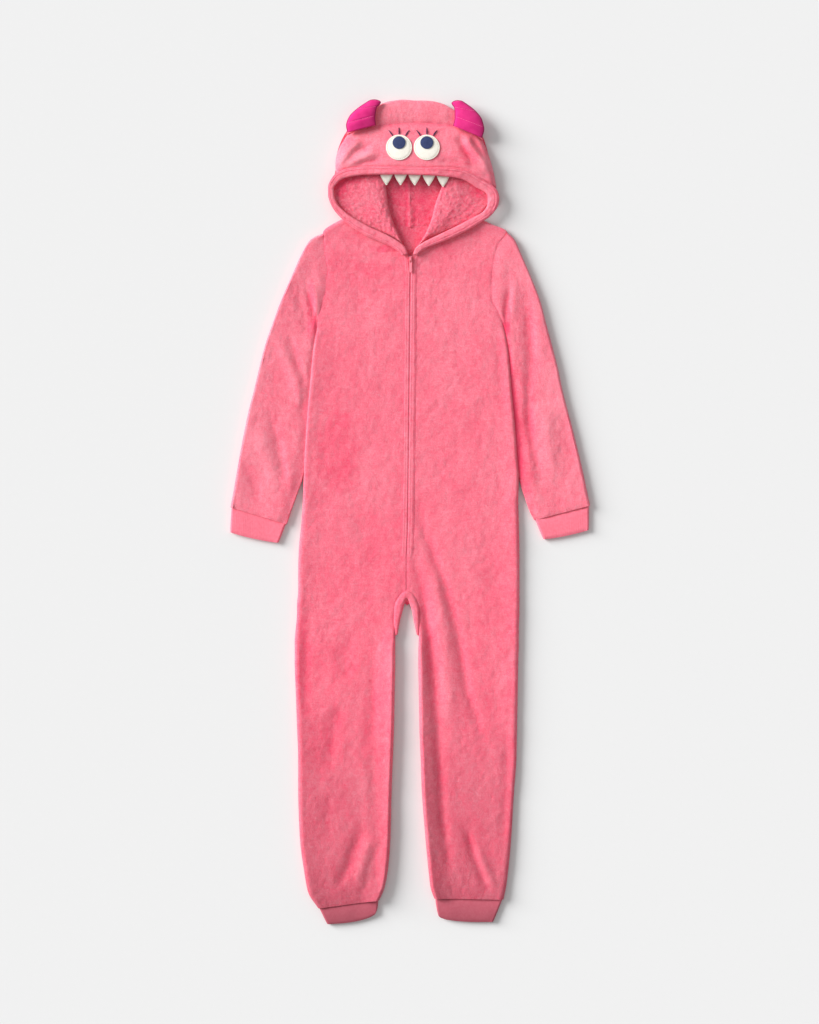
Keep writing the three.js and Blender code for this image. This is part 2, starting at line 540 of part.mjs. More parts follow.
function backPanel(rows) {
  const outer = [];
  const inner = [];
  for (const row of rows) {
    const width = Math.hypot(row.midX - row.sideX, row.midY - row.sideY);
    const outerRow = [];
    const innerRow = [];
    for (const distance of [0, BACK_EDGE, width / 2, width - BACK_EDGE, width]) {
      const share = distance / width;
      const x = mix(row.sideX, row.midX, share);
      const y = mix(row.sideY, row.midY, share);
      const sideEase = distance === 0 ? row.sideRound : 0;
      const midEase = distance === width ? row.midRound : 0;
      outerRow.push([x, y, FLEECE]);
      innerRow.push([x, y, BACK_EASE * (sideEase + midEase)]);
    }
    outer.push(outerRow);
    inner.push(innerRow);
  }
  return wall(outer, inner);
}

// One ring of a flattened tube in its own plane: distances across it and heights, outside and in.
const RING_END_ANGLES = [30, 65, 115, 150];

function flatRing(width, topAt, thickness, shares) {
  const outer = [];
  const inner = [];
  const radius = topAt(0) / 2;
  const innerRadius = radius - thickness;
  const end = (centre, sign) => {
    const angles = sign < 0 ? RING_END_ANGLES : RING_END_ANGLES.map((angle) => 180 - angle);
    for (const degrees of angles) {
      const angle = THREE.MathUtils.degToRad(degrees);
      const sine = sign * Math.sin(angle);
      const cosine = -Math.cos(angle);
      outer.push([centre + radius * sine, radius + radius * cosine]);
      inner.push([centre + innerRadius * sine, radius + innerRadius * cosine]);
    }
  };
  end(radius, -1);
  const inFromEnd = (share) => THREE.MathUtils.clamp(share * width, radius, width - radius);
  for (const share of shares) {
    const across = inFromEnd(share);
    outer.push([across, topAt(share)]);
    inner.push([across, topAt(share) - thickness]);
  }
  end(width - radius, 1);
  for (const share of [...shares].reverse()) {
    const across = inFromEnd(share);
    outer.push([across, 0]);
    inner.push([across, thickness]);
  }
  return { outer, inner };
}

// Sleeves: flattened tubes. Their first ring follows the armhole, and that bend fades out.
const ARMHOLE_FADE_ROWS = 3;

function sleeveRings(rows, body, side) {
  const armhole = body.slice(ARMHOLE_FIRST_ROW, ARMHOLE_LAST_ROW + 1);
  const shoulder = rows[0];
  const drop = shoulder.outY - shoulder.inY;
  const shares = armhole.map((row) => Math.max(0, (shoulder.outY - row.sideY) / drop));
  const bends = armhole.map((row, index) => {
    const straight = mix(shoulder.outX, shoulder.inX, shares[index]);
    return row.sideX + side * SEAM * 2 - straight;
  });
  const outer = [];
  const inner = [];
  rows.forEach((row, rowIndex) => {
    const width = Math.hypot(row.inX - row.outX, row.inY - row.outY);
    const alongX = (row.inX - row.outX) / width;
    const alongY = (row.inY - row.outY) / width;
    const fade = Math.max(0, 1 - rowIndex / ARMHOLE_FADE_ROWS);
    const topAt = (share) => {
      const x = mix(row.outX, row.inX, share);
      const y = mix(row.outY, row.inY, share);
      const rise = share === 0 ? 0 : foldHeight(SLEEVE_FOLDS, x, y);
      return SLEEVE_TOP - SLEEVE_SINK * Math.sin(Math.PI * share) + rise;
    };
    const ring = flatRing(width, topAt, FLEECE, shares);
    const place = ([across, height]) => {
      const share = THREE.MathUtils.clamp(across / width, shares[0], shares[shares.length - 1]);
      const step = Math.max(1, shares.findIndex((value) => value >= share));
      const part = (share - shares[step - 1]) / (shares[step] - shares[step - 1]);
      const bend = fade * mix(bends[step - 1], bends[step], part);
      return [row.outX + alongX * across + bend, row.outY + alongY * across, height];
    };
    outer.push(ring.outer.map(place));
    inner.push(ring.inner.map(place));
  });
  return { outer, inner };
}

// Rib cuffs: short flattened tubes sewn to the end of a sleeve or leg.
const CUFF_SHARES = [0, 0.25, 0.5, 0.75, 1];
const CUFF_INSET = 2; // how much narrower the cuff is than the hem on each side
const CUFF_ROWS = 3;

function cuffTube(hem, end) {
  const width = Math.hypot(hem.inX - hem.outX, hem.inY - hem.outY);
  const length = Math.hypot(end.outX - hem.outX, end.outY - hem.outY);
  const outer = [];
  const inner = [];
  for (let row = 0; row <= CUFF_ROWS; row += 1) {
    const share = mix(2 * SEAM / length, 1, row / CUFF_ROWS);
    const inset = CUFF_INSET * (1 - row / CUFF_ROWS) / width;
    const from = [mix(hem.outX, end.outX, share), mix(hem.outY, end.outY, share)];
    const to = [mix(hem.inX, end.inX, share), mix(hem.inY, end.inY, share)];
    const start = [mix(from[0], to[0], inset), mix(from[1], to[1], inset)];
    const stop = [mix(to[0], from[0], inset), mix(to[1], from[1], inset)];
    const across = Math.hypot(stop[0] - start[0], stop[1] - start[1]);
    const ring = flatRing(across, () => CUFF_TOP, RIB, CUFF_SHARES);
    const place = ([distance, height]) => [
      mix(start[0], stop[0], distance / across),
      mix(start[1], stop[1], distance / across),
      height,
    ];
    outer.push(ring.outer.map(place));
    inner.push(ring.inner.map(place));
  }
  return tubeWall(outer, inner);
}

// The crotch piece: cloth folded round from the front seam to the back seam, open toward them.
const GUSSET_TOP = 11;
const GUSSET_EDGE = 3.2; // how far from its top and its underside the folded edge rounds over
const GUSSET_EASE = 0.6; // how far the rounding draws in above and below the middle of the fold
const GUSSET_FLAT = 0.4; // how much lower its top is where the rounding starts
const GUSSET_GAP = 0.4; // the least width of the hollow inside the fold

function gusset() {
  const seamLeft = BODY_LEFT.slice(GUSSET_FIRST_ROW, GUSSET_LAST_ROW + 1).reverse();
  const seamRight = BODY_RIGHT.slice(GUSSET_FIRST_ROW + 1, GUSSET_LAST_ROW + 1);
  const seam = [...seamLeft, ...seamRight];
  const rings = seam.map((row, index) => {
    const fold = GUSSET_FOLD[index];
    const reach = Math.hypot(fold.x - row.midX, fold.y - row.midY);
    const width = reach - 2 * SEAM;
    const turn = width - GUSSET_EDGE + GUSSET_EASE;
    const eased = width - GUSSET_EASE;
    const hollow = Math.max(GUSSET_GAP, width - FLEECE);
    const hollowEdge = hollow * 0.9;
    const section = [
      [0, 0], [turn, 0], [eased, GUSSET_EDGE], [width, GUSSET_TOP / 2],
      [eased, GUSSET_TOP - GUSSET_EDGE], [turn, GUSSET_TOP - GUSSET_FLAT],
      [0, PANEL_TOP], [0, PANEL_TOP - FLEECE], [hollowEdge, GUSSET_TOP - FLEECE],
      [hollow, GUSSET_TOP / 2], [hollowEdge, FLEECE], [0, FLEECE],
    ];
    return section.map(([across, height]) => [
      mix(row.midX, fold.x, (across + 2 * SEAM) / reach),
      mix(row.midY, fold.y, (across + 2 * SEAM) / reach),
      height,
    ]);
  });
  return loft(rings, stripEnd);
}

// Back of the hood: flat on the surface, turned over the crown, and ended at the crown seam.
const CROWN_TURN_ANGLES = [-60, -20, 20, 60];
const CROWN_RADIUS = 6;

function hoodBack(rows, side) {
  const leftSeam = CROWN_SEAM.slice(0, CROWN_MIDDLE + 1).reverse();
  const seam = side < 0 ? leftSeam : CROWN_SEAM.slice(CROWN_MIDDLE);
  const seamWidth = seam[seam.length - 1].x - seam[0].x;
  const shares = seam.map((point) => (point.x - seam[0].x) / seamWidth);
  const line = (row) => shares.map((share) => {
    const bow = row.bow * Math.sin(Math.PI * share);
    return [mix(row.midX, row.sideX, share), mix(row.midY, row.sideY, share) + bow];
  });
  const crown = rows[rows.length - 1];
  const outer = [];
  const inner = [];
  for (const row of rows.slice(0, -1)) {
    outer.push(line(row).map(([x, y]) => [x, y, 0]));
    inner.push(line(row).map(([x, y]) => [x, y, FLEECE]));
  }
  for (const degrees of CROWN_TURN_ANGLES) {
    const angle = THREE.MathUtils.degToRad(degrees);
    const arc = (radius) => line(crown).map(([x, y]) => [
      x,
      y - CROWN_RADIUS + Math.cos(angle) * radius,
      CROWN_RADIUS + Math.sin(angle) * radius,
    ]);
    outer.push(arc(CROWN_RADIUS));
    inner.push(arc(CROWN_RADIUS - FLEECE));
  }
  const parted = (point) => point.x + (point === seam[0] ? side * SEAM / 2 : 0);
  outer.push(seam.map((point) => [parted(point), point.y, CROWN_TOP]));
  inner.push(seam.map((point) => [parted(point), point.y, CROWN_TOP - FLEECE]));
  return wall(outer, inner);
}

// Face band of the hood: it rises from the crown seam to the brim and rounds over at the sides.
const FACE_SHARES = [0, 0.13, 0.26, 0.4, 0.55, 0.7, 0.85, 1];
const FACE_SIDE_ROWS = [0.12, 0.45]; // extra rows inside the first and last gaps of the table
const BRIM_FALL = 7; // how much lower the brim stands near the sides
const BRIM_HALF = 125; // how far from the middle of the hood that is

function faceRows() {
  const table = CROWN_SEAM.map((top, index) => ({ top, brim: FACE_BRIM[index] }));
  const between = (a, b, share) => ({
    top: { x: mix(a.top.x, b.top.x, share), y: mix(a.top.y, b.top.y, share) },
    brim: {
      x: mix(a.brim.x, b.brim.x, share),
      y: mix(a.brim.y, b.brim.y, share),
      bow: mix(a.brim.bow, b.brim.bow, share),
    },
  });
  const last = table.length - 1;
  const head = FACE_SIDE_ROWS.map((share) => between(table[0], table[1], share));
  const tail = FACE_SIDE_ROWS.map((share) => between(table[last], table[last - 1], share)).reverse();
  return [table[0], ...head, ...table.slice(1, last), ...tail, table[last]];
}

function faceGrid() {
  const rows = faceRows();
  const ends = [rows[0], rows[rows.length - 1]];
  const place = (row, share) => [
    mix(row.top.x, row.brim.x, share) - row.brim.bow * Math.sin(Math.PI * share),
    mix(row.top.y - SEAM, row.brim.y, share),
  ];
  const outer = [];
  const inner = [];
  const foot = FLEECE + SEAM;
  for (const row of rows) {
    const outerRow = [];
    const innerRow = [];
    for (const share of FACE_SHARES) {
      const [x, y] = place(row, share);
      const [leftX, leftY] = place(ends[0], share);
      const [rightX, rightY] = place(ends[1], share);
      const fromLeft = Math.hypot(x - leftX, y - leftY);
      const fromRight = Math.hypot(x - rightX, y - rightY);
      const fromSide = Math.min(fromLeft, fromRight);
      const fall = BRIM_FALL * Math.pow((x - HOOD_MIDDLE) / BRIM_HALF, 2) * share;
      const rise = Math.sin(share * Math.PI / 2);
      const fold = foldHeight(HOOD_FOLDS, x, y) * Math.sin(Math.PI * share);
      const top = mix(CROWN_TOP, BRIM_TOP, rise) - fall + fold;
      const edge = roundedEdge(fromSide, HOOD_ROLL, 1);
      const z = foot + (top - foot) * edge.rise;
      const toward = fromLeft < fromRight ? 1 : -1;
      outerRow.push([x, y, z]);
      innerRow.push([x + toward * FLEECE * Math.cos(edge.lean), y, z - FLEECE * Math.sin(edge.lean)]);
    }
    outer.push(outerRow);
    inner.push(innerRow);
  }
  return { outer, inner };
}

// The turned hem: a soft flat band swept round the face opening.
const HEM_SECTION = [
  { across: 0, height: 0.5 }, { across: 0.1, height: 0.88 }, { across: 0.32, height: 1 },
  { across: 0.68, height: 1 }, { across: 0.9, height: 0.88 }, { across: 1, height: 0.5 },
  { across: 0.86, height: 0.06 }, { across: 0.5, height: 0 }, { across: 0.14, height: 0.06 },
];

function hemBand() {
  const rings = HOOD_HEM.map((row) => HEM_SECTION.map((point) => [
    mix(row.outX, row.inX, point.across),
    mix(row.outY, row.inY, point.across),
    row.top - HEM_THICKNESS * (1 - point.height),
  ]));
  return loft(rings);
}

// The folded side cloth of the hood: two hidden layers in one soft body with a rounded free fold.
// Its section runs round from the fold: rise is the share of its height there, and slope how far
// its top has fallen toward the edge under the hem.
const FOLD_BASE = FLEECE + SEAM;
const FOLD_UNDER_TOP = FOLD_BASE + 3; // its top where it runs in under the hem
const FOLD_SECTION = [
  { across: 0.05, rise: 0, slope: 0 },
  { across: 0, rise: 0.5, slope: 0 },
  { across: 0.04, rise: 0.86, slope: 0 },
  { across: 0.12, rise: 1, slope: 0 },
  { across: 0.35, rise: 1, slope: 0.16 },
  { across: 0.7, rise: 1, slope: 0.7 },
  { across: 1, rise: 1, slope: 1 },
  { across: 0.98, rise: 0, slope: 0 },
  { across: 0.5, rise: 0, slope: 0 },
];

function hoodFold(rows) {
  const rings = rows.map((row) => FOLD_SECTION.map((point) => {
    const top = mix(row.top, Math.min(row.top, FOLD_UNDER_TOP), point.slope);
    return [
      mix(row.foldX, row.underX, point.across),
      mix(row.foldY, row.underY, point.across),
      mix(FOLD_BASE, top, point.rise),
    ];
  }));
  return loft(rings);
}

// A padded horn lying on the crown.
const HORN_FLOOR = CROWN_TOP + LOOSE;
const HORN_ANGLES = 12;

function horn(rows) {
  const rings = rows.map((row) => {
    const half = HORN_THICKNESS * row.full / 2;
    const ring = [];
    for (let step = 0; step < HORN_ANGLES; step += 1) {
      const angle = step / HORN_ANGLES * Math.PI * 2;
      const across = 0.5 - Math.cos(angle) / 2;
      const height = HORN_FLOOR + half * (1 + Math.sin(angle));
      ring.push([mix(row.outX, row.inX, across), mix(row.outY, row.inY, across), height]);
    }
    return ring;
  });
  return loft(rings);
}

// The height of a grid of points at a place, read off its own triangles.
function heightOn(grid, x, y) {
  for (let row = 0; row < grid.length - 1; row += 1) {
    for (let column = 0; column < grid[0].length - 1; column += 1) {
      const [a, b] = [grid[row][column], grid[row][column + 1]];
      const [c, d] = [grid[row + 1][column + 1], grid[row + 1][column]];
      for (const [p, q, r] of [[a, b, c], [a, c, d]]) {
        const area = (q[0] - p[0]) * (r[1] - p[1]) - (r[0] - p[0]) * (q[1] - p[1]);
        const second = ((x - p[0]) * (r[1] - p[1]) - (r[0] - p[0]) * (y - p[1])) / area;
        const third = ((q[0] - p[0]) * (y - p[1]) - (x - p[0]) * (q[1] - p[1])) / area;
        if (second >= -1e-9 && third >= -1e-9 && second + third <= 1 + 1e-9) {
          return p[2] + second * (q[2] - p[2]) + third * (r[2] - p[2]);
        }
      }
    }
  }
  throw new Error(`no panel under ${x}, ${y}`);
}

// A round felt disc that follows the face band, lifted clear of it.
const DISC_RINGS = [0.02, 0.35, 0.7, 1];
const DISC_STEPS = 20;

function feltDisc(grid, centreX, centreY, radius, lift) {
  const outer = [];
  const inner = [];
  for (const share of DISC_RINGS) {
    const upper = [];
    const lower = [];
    for (let step = 0; step < DISC_STEPS; step += 1) {
      const angle = step / DISC_STEPS * Math.PI * 2;
      const x = centreX + radius * share * Math.cos(angle);
      const y = centreY + radius * share * Math.sin(angle);
      const z = heightOn(grid, x, y) + lift;
      upper.push([x, y, z + FELT]);
      lower.push([x, y, z]);
    }
    outer.push(upper);
    inner.push(lower);
  }
  return loft([...outer, ...inner.reverse()]);
}

// A felt tooth, tucked under the hem and pointing down into the face opening.
const TOOTH_TUCK = 3; // how far its root reaches in under the hem
const TOOTH_DROP = 2.5; // how much lower its tip hangs
const TOOTH_THICKNESS = 2.2; // two layers of felt
const TOOTH_GAP = 0.5; // between the root and the hem's underside
const TOOTH_TIP_HALF = 2.4;
const TOOTH_TIP_LENGTH = 1.4;
const BRIM_FIRST_ROW = 10; // the rows of the hem's table that cross the brim
const BRIM_LAST_ROW = 19;

function tooth(centreX) {
  const brim = HOOD_HEM.slice(BRIM_FIRST_ROW, BRIM_LAST_ROW + 1);
  const before = brim.findLast((row) => row.inX <= centreX);
  const after = brim[brim.indexOf(before) + 1];
  const share = (centreX - before.inX) / (after.inX - before.inX);
  const rootY = mix(before.inY, after.inY, share) + TOOTH_TUCK;
  const rootTop = Math.min(before.top, after.top) - HEM_THICKNESS - TOOTH_GAP;
  const half = TOOTH_WIDTH / 2;
  const side = half * 0.92;
  const tipStart = TOOTH_TIP_LENGTH - TOOTH_LENGTH;
  const outline = [
    [-half, 0], [half, 0], [side, -TOOTH_TUCK], [TOOTH_TIP_HALF, tipStart],
    [0, -TOOTH_LENGTH], [-TOOTH_TIP_HALF, tipStart], [-side, -TOOTH_TUCK],
  ];
  const layer = (depth) => outline.map(([x, y]) => [
    centreX + x,
    rootY + y,
    rootTop - depth + TOOTH_DROP * y / TOOTH_LENGTH,
  ]);
  return loft([layer(0), layer(TOOTH_THICKNESS)]);
}

// Zip tapes: strips under the two front edges, from the neck to the end of the zip.
const ZIP_LAST_ROW = 17;

function zipTape(rows, side) {
  const under = FLEECE + SEAM;
  const rings = rows.slice(0, ZIP_LAST_ROW + 1).map((row) => {
    const middle = mix(BODY_LEFT[rows.indexOf(row)].midX, BODY_RIGHT[rows.indexOf(row)].midX, 0.5);
    const near = middle + side * SEAM / 2;
    const far = near + side * TAPE_WIDTH;
    return [
      [near, row.midY, under], [far, row.midY, under],
      [far, row.midY, under + TAPE_THICKNESS], [near, row.midY, under + TAPE_THICKNESS],
    ];
  });
  return loft(rings);
}

// The slider: a shield-shaped body with an arch over its top that carries the pull.
const SLIDER_LENGTH = 11;
const SLIDER_TAIL = 1.9; // half its width at the end toward the feet
const SLIDER_SHOULDER = 2.8; // half its width at the middle
const SLIDER_BULGE = 3.4; // how far its sides reach out toward the neck
const SLIDER_NOSE = 2.1; // half its width at the end toward the neck
const SLIDER_FLOOR = FLEECE + SEAM + TAPE_THICKNESS + SEAM;
const SLIDER_TOP = 11.4;
const BRIDGE_WIDTH = 2;
const BRIDGE_THICKNESS = 1.3;
const BRIDGE_TOP = 15.2;
const BRIDGE_SHOULDER = 13.2;
const BRIDGE_UNDERSIDE = BRIDGE_TOP - BRIDGE_THICKNESS;
const BRIDGE_FOOT = 4.2; // half the length between the outsides of its feet
const BRIDGE_FLAT = 2.4; // half the length of its level top

function sliderBody() {
  const outline = new THREE.Shape();
  outline.moveTo(-SLIDER_TAIL, -SLIDER_LENGTH / 2);
  outline.lineTo(SLIDER_TAIL, -SLIDER_LENGTH / 2);
  outline.lineTo(SLIDER_SHOULDER, 1);
  outline.quadraticCurveTo(SLIDER_BULGE, SLIDER_LENGTH * 0.45, SLIDER_NOSE, SLIDER_LENGTH / 2);
  outline.lineTo(-SLIDER_NOSE, SLIDER_LENGTH / 2);
  outline.quadraticCurveTo(-SLIDER_BULGE, SLIDER_LENGTH * 0.45, -SLIDER_SHOULDER, 1);
  const options = { depth: SLIDER_TOP - SLIDER_FLOOR, bevelEnabled: false, curveSegments: 4 };
  const geometry = new THREE.ExtrudeGeometry(outline, options);
  geometry.translate(SLIDER_X, SLIDER_Y, SLIDER_FLOOR);
  return geometry;
}

function sliderArch() {
  const foot = SLIDER_TOP - 1; // the arch's feet reach into the body that they are cast with
  const innerFoot = BRIDGE_FOOT - BRIDGE_THICKNESS - 0.3;
  const innerFlat = BRIDGE_FLAT - BRIDGE_THICKNESS + 0.5;
  const side = new THREE.Shape();
  side.moveTo(-BRIDGE_FOOT, foot);
  side.lineTo(0.6 - BRIDGE_FOOT, BRIDGE_SHOULDER);
  side.lineTo(-BRIDGE_FLAT, BRIDGE_TOP);
  side.lineTo(BRIDGE_FLAT, BRIDGE_TOP);
  side.lineTo(BRIDGE_FOOT - 0.6, BRIDGE_SHOULDER);
  side.lineTo(BRIDGE_FOOT, foot);
  side.lineTo(innerFoot, foot);
  side.lineTo(innerFlat, BRIDGE_UNDERSIDE);
  side.lineTo(-innerFlat, BRIDGE_UNDERSIDE);
  side.lineTo(-innerFoot, foot);
  const geometry = new THREE.ExtrudeGeometry(side, { depth: BRIDGE_WIDTH, bevelEnabled: false });
  geometry.rotateX(Math.PI / 2);
  geometry.rotateZ(Math.PI / 2);
  geometry.translate(SLIDER_X - BRIDGE_WIDTH / 2, SLIDER_Y, 0);
  return geometry;
}

const wasm = await Module();
wasm.setup();

function toManifold(geometry) {
  const bare = geometry.clone();
  bare.deleteAttribute('normal');
  bare.deleteAttribute('uv');
  const merged = mergeVertices(bare);
  const vertProperties = merged.attributes.position.array;
  const triVerts = new Uint32Array(merged.index.array);
  return new wasm.Manifold(new wasm.Mesh({ numProp: 3, vertProperties, triVerts }));
}

function join(first, second) {
  const mesh = toManifold(first).add(toManifold(second)).getMesh();
  const geometry = new THREE.BufferGeometry();
  geometry.setAttribute('position', new THREE.Float32BufferAttribute(mesh.vertProperties, 3));
  geometry.setIndex(Array.from(mesh.triVerts));
  geometry.computeVertexNormals();
  return geometry;
}

// The pull: a cross bar under the arch, two arms past the arch's foot, and a rounded tab.
const PULL_BAR = 1.5; // thickness of the plate, and width of the bar
const PULL_WIDTH = 5.4;
const PULL_WINDOW = 3.2; // width of the window that the arch passes through
const PULL_WINDOW_END = 6;
const PULL_ARM_END = 5; // where the straight arms end and the waist starts
const PULL_ROUND = 3; // length of its rounded end

function pullTab() {
  const half = PULL_WIDTH / 2;
  const waist = half * 0.6;
  const endHalf = half * 0.9;
  const endY = PULL_ROUND - PULL_LENGTH;
  const outline = new THREE.Shape();
  outline.moveTo(-half, PULL_BAR / 2);
  outline.lineTo(-half, -PULL_ARM_END);
  outline.quadraticCurveTo(-waist, -PULL_LENGTH / 2, -endHalf, endY);
  outline.quadraticCurveTo(0, -PULL_LENGTH - PULL_ROUND, endHalf, endY);
  outline.quadraticCurveTo(waist, -PULL_LENGTH / 2, half, -PULL_ARM_END);
  outline.lineTo(half, PULL_BAR / 2);
  outline.closePath();
  const window = new THREE.Path();
  window.moveTo(-PULL_WINDOW / 2, -PULL_BAR / 2);
  window.lineTo(PULL_WINDOW / 2, -PULL_BAR / 2);
  window.lineTo(PULL_WINDOW / 2, -PULL_WINDOW_END);
  window.lineTo(-PULL_WINDOW / 2, -PULL_WINDOW_END);
  outline.holes.push(window);
  const options = { depth: PULL_BAR, bevelEnabled: false, curveSegments: 5 };
  const geometry = new THREE.ExtrudeGeometry(outline, options);
  geometry.translate(SLIDER_X, SLIDER_Y, PULL_AXIS_Z - PULL_BAR / 2);
  return geometry;
}

// The garment, put together from its pieces.
const PUPIL_LIFT = LOOSE + FELT + LOOSE / 2;
const TEETH_MIDDLE = HOOD_MIDDLE + 3;
const onesie = new THREE.Group();

function add(name, geometry, colour, roughness, metalness) {
  const material = new THREE.MeshStandardMaterial({ color: colour, roughness, metalness });
  const mesh = new THREE.Mesh(geometry, material);
  mesh.name = name;
  onesie.add(mesh);
}

const cloth = (name, geometry, colour = COLOURS.fleece) => add(name, geometry, colour, 0.95, 0);
const hemOf = (rows) => rows[rows.length - 1];
const legHem = (rows) => ({
  outX: hemOf(rows).sideX,
  outY: hemOf(rows).sideY,
  inX: hemOf(rows).midX,
  inY: hemOf(rows).midY,
});

cloth('front_left', frontPanel(BODY_LEFT));
cloth('front_right', frontPanel(BODY_RIGHT));
cloth('back_left', backPanel(backRows(BODY_LEFT, -1)));
cloth('back_right', backPanel(backRows(BODY_RIGHT, 1)));
cloth('crotch_gusset', gusset());

const sleeveLeft = sleeveRings(SLEEVE_LEFT, BODY_LEFT, -1);
const sleeveRight = sleeveRings(SLEEVE_RIGHT, BODY_RIGHT, 1);
cloth('sleeve_left', tubeWall(sleeveLeft.outer, sleeveLeft.inner));
cloth('sleeve_right', tubeWall(sleeveRight.outer, sleeveRight.inner));
cloth('cuff_sleeve_left', cuffTube(hemOf(SLEEVE_LEFT), CUFF_ENDS.cuff_sleeve_left), COLOURS.rib);
cloth('cuff_sleeve_right', cuffTube(hemOf(SLEEVE_RIGHT), CUFF_ENDS.cuff_sleeve_right), COLOURS.rib);
cloth('cuff_leg_left', cuffTube(legHem(BODY_LEFT), CUFF_ENDS.cuff_leg_left), COLOURS.rib);
cloth('cuff_leg_right', cuffTube(legHem(BODY_RIGHT), CUFF_ENDS.cuff_leg_right), COLOURS.rib);

cloth('hood_back_left', hoodBack(HOOD_BACK_LEFT, -1));
cloth('hood_back_right', hoodBack(HOOD_BACK_RIGHT, 1));
const face = faceGrid();
cloth('hood_face', wall(face.outer, face.inner));
cloth('hood_hem', hemBand());
cloth('hood_fold_left', hoodFold(HOOD_FOLD_LEFT));
cloth('hood_fold_right', hoodFold(HOOD_FOLD_RIGHT));
cloth('horn_left', horn(HORN_LEFT), COLOURS.horn);
cloth('horn_right', horn(HORN_RIGHT), COLOURS.horn);

for (const [name, side] of [['left', -1], ['right', 1]]) {
  const x = HOOD_MIDDLE + side * EYE_SPACING / 2;
  const pupilY = EYE_Y + PUPIL_RISE;
  cloth(`eye_${name}`, feltDisc(face.outer, x, EYE_Y, EYE_RADIUS, LOOSE), COLOURS.eye);
  cloth(`pupil_${name}`, feltDisc(face.outer, x, pupilY, PUPIL_RADIUS, PUPIL_LIFT), COLOURS.pupil);
}
for (let index = 0; index < TOOTH_COUNT; index += 1) {
  const centreX = TEETH_MIDDLE + (index - (TOOTH_COUNT - 1) / 2) * TOOTH_PITCH;
  cloth(`tooth_${index + 1}`, tooth(centreX), COLOURS.eye);
}

cloth('zip_tape_left', zipTape(BODY_LEFT, -1), COLOURS.tape);
cloth('zip_tape_right', zipTape(BODY_RIGHT, 1), COLOURS.tape);
add('zip_slider', join(sliderBody(), sliderArch()), COLOURS.metal, 0.35, 0.4);
add('zip_pull', pullTab(), COLOURS.metal, 0.35, 0.4);

export default onesie;
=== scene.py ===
"""A child's plush fleece onesie with a horned monster hood, laid flat on its back on a pale table."""

import math

import bpy
import numpy as np
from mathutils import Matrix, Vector
from mathutils.bvhtree import BVHTree


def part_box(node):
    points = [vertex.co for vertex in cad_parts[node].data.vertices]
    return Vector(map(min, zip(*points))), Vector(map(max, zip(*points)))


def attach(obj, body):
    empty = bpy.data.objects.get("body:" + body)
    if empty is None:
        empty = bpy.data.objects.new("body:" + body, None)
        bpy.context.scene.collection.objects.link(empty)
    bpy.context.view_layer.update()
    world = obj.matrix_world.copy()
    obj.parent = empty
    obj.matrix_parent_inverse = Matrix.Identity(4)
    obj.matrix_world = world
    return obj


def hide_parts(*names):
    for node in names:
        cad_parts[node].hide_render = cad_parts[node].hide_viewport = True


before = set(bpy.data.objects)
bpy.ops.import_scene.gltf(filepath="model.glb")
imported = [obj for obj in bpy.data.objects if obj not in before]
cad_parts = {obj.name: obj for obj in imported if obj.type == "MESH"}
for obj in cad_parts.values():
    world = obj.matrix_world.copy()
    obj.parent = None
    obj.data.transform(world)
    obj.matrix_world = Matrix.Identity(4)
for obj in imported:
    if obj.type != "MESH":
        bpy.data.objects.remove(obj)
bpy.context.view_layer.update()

# The picture: a camera straight above the garment, a pale table, and soft studio light that comes
# low from the upper left, so that every edge of the thick cloth drops a soft shadow to its right.
MM = 0.001
VIEW_HEIGHT = 1.741
VIEW_MIDDLE = (-0.0008, 0.0)
CAMERA_DISTANCE = 5.0
FILM_HEIGHT = 24.0

camera_data = bpy.data.cameras.new("camera")
camera_data.sensor_fit = "VERTICAL"
camera_data.sensor_height = FILM_HEIGHT
camera_data.lens = FILM_HEIGHT * CAMERA_DISTANCE / VIEW_HEIGHT
camera_data.clip_end = 30.0
camera = bpy.data.objects.new("camera", camera_data)
camera.location = (VIEW_MIDDLE[0], VIEW_MIDDLE[1], CAMERA_DISTANCE)
bpy.context.scene.collection.objects.link(camera)
bpy.context.scene.camera = camera
bpy.context.scene.view_settings.view_transform = "Standard"

KEY_DIRECTION = Vector((-0.80, 0.36, 0.37))
KEY_STRENGTH = 5.4
KEY_SOFTNESS = math.radians(34)
FILL_STRENGTH = 0.49

key_data = bpy.data.lights.new("key", "SUN")
key_data.energy = KEY_STRENGTH
key_data.angle = KEY_SOFTNESS
key = bpy.data.objects.new("key", key_data)
key.rotation_euler = KEY_DIRECTION.to_track_quat("Z", "Y").to_euler()
bpy.context.scene.collection.objects.link(key)

world = bpy.data.worlds.new("studio")
world.use_nodes = True
world.node_tree.nodes["Background"].inputs["Color"].default_value = (1.0, 1.0, 1.0, 1.0)
world.node_tree.nodes["Background"].inputs["Strength"].default_value = FILL_STRENGTH
bpy.context.scene.world = world


def new_material(name, slot_colour):
    """An empty node material with its Principled shader, and the plain colour shown in previews."""
    material = bpy.data.materials.new(name)
    material.use_nodes = True
    material.diffuse_color = (*slot_colour, 1.0)
    return material, material.node_tree, material.node_tree.nodes["Principled BSDF"]


def add_node(tree, kind, inputs=None, **settings):
    """A shader node with its settings; an input is a value or another node's output."""
    made = tree.nodes.new(kind)
    for name, value in settings.items():
        setattr(made, name, value)
    for name, value in (inputs or {}).items():
        if isinstance(value, bpy.types.NodeSocket):
            tree.links.new(value, made.inputs[name])
        else:
            made.inputs[name].default_value = value
    return made


TABLE_COLOUR = (0.750, 0.750, 0.750)
TABLE_GRAIN = (0.760, 0.760, 0.760)
TABLE_HALF = 4.0
TABLE_LEVEL = -0.0004

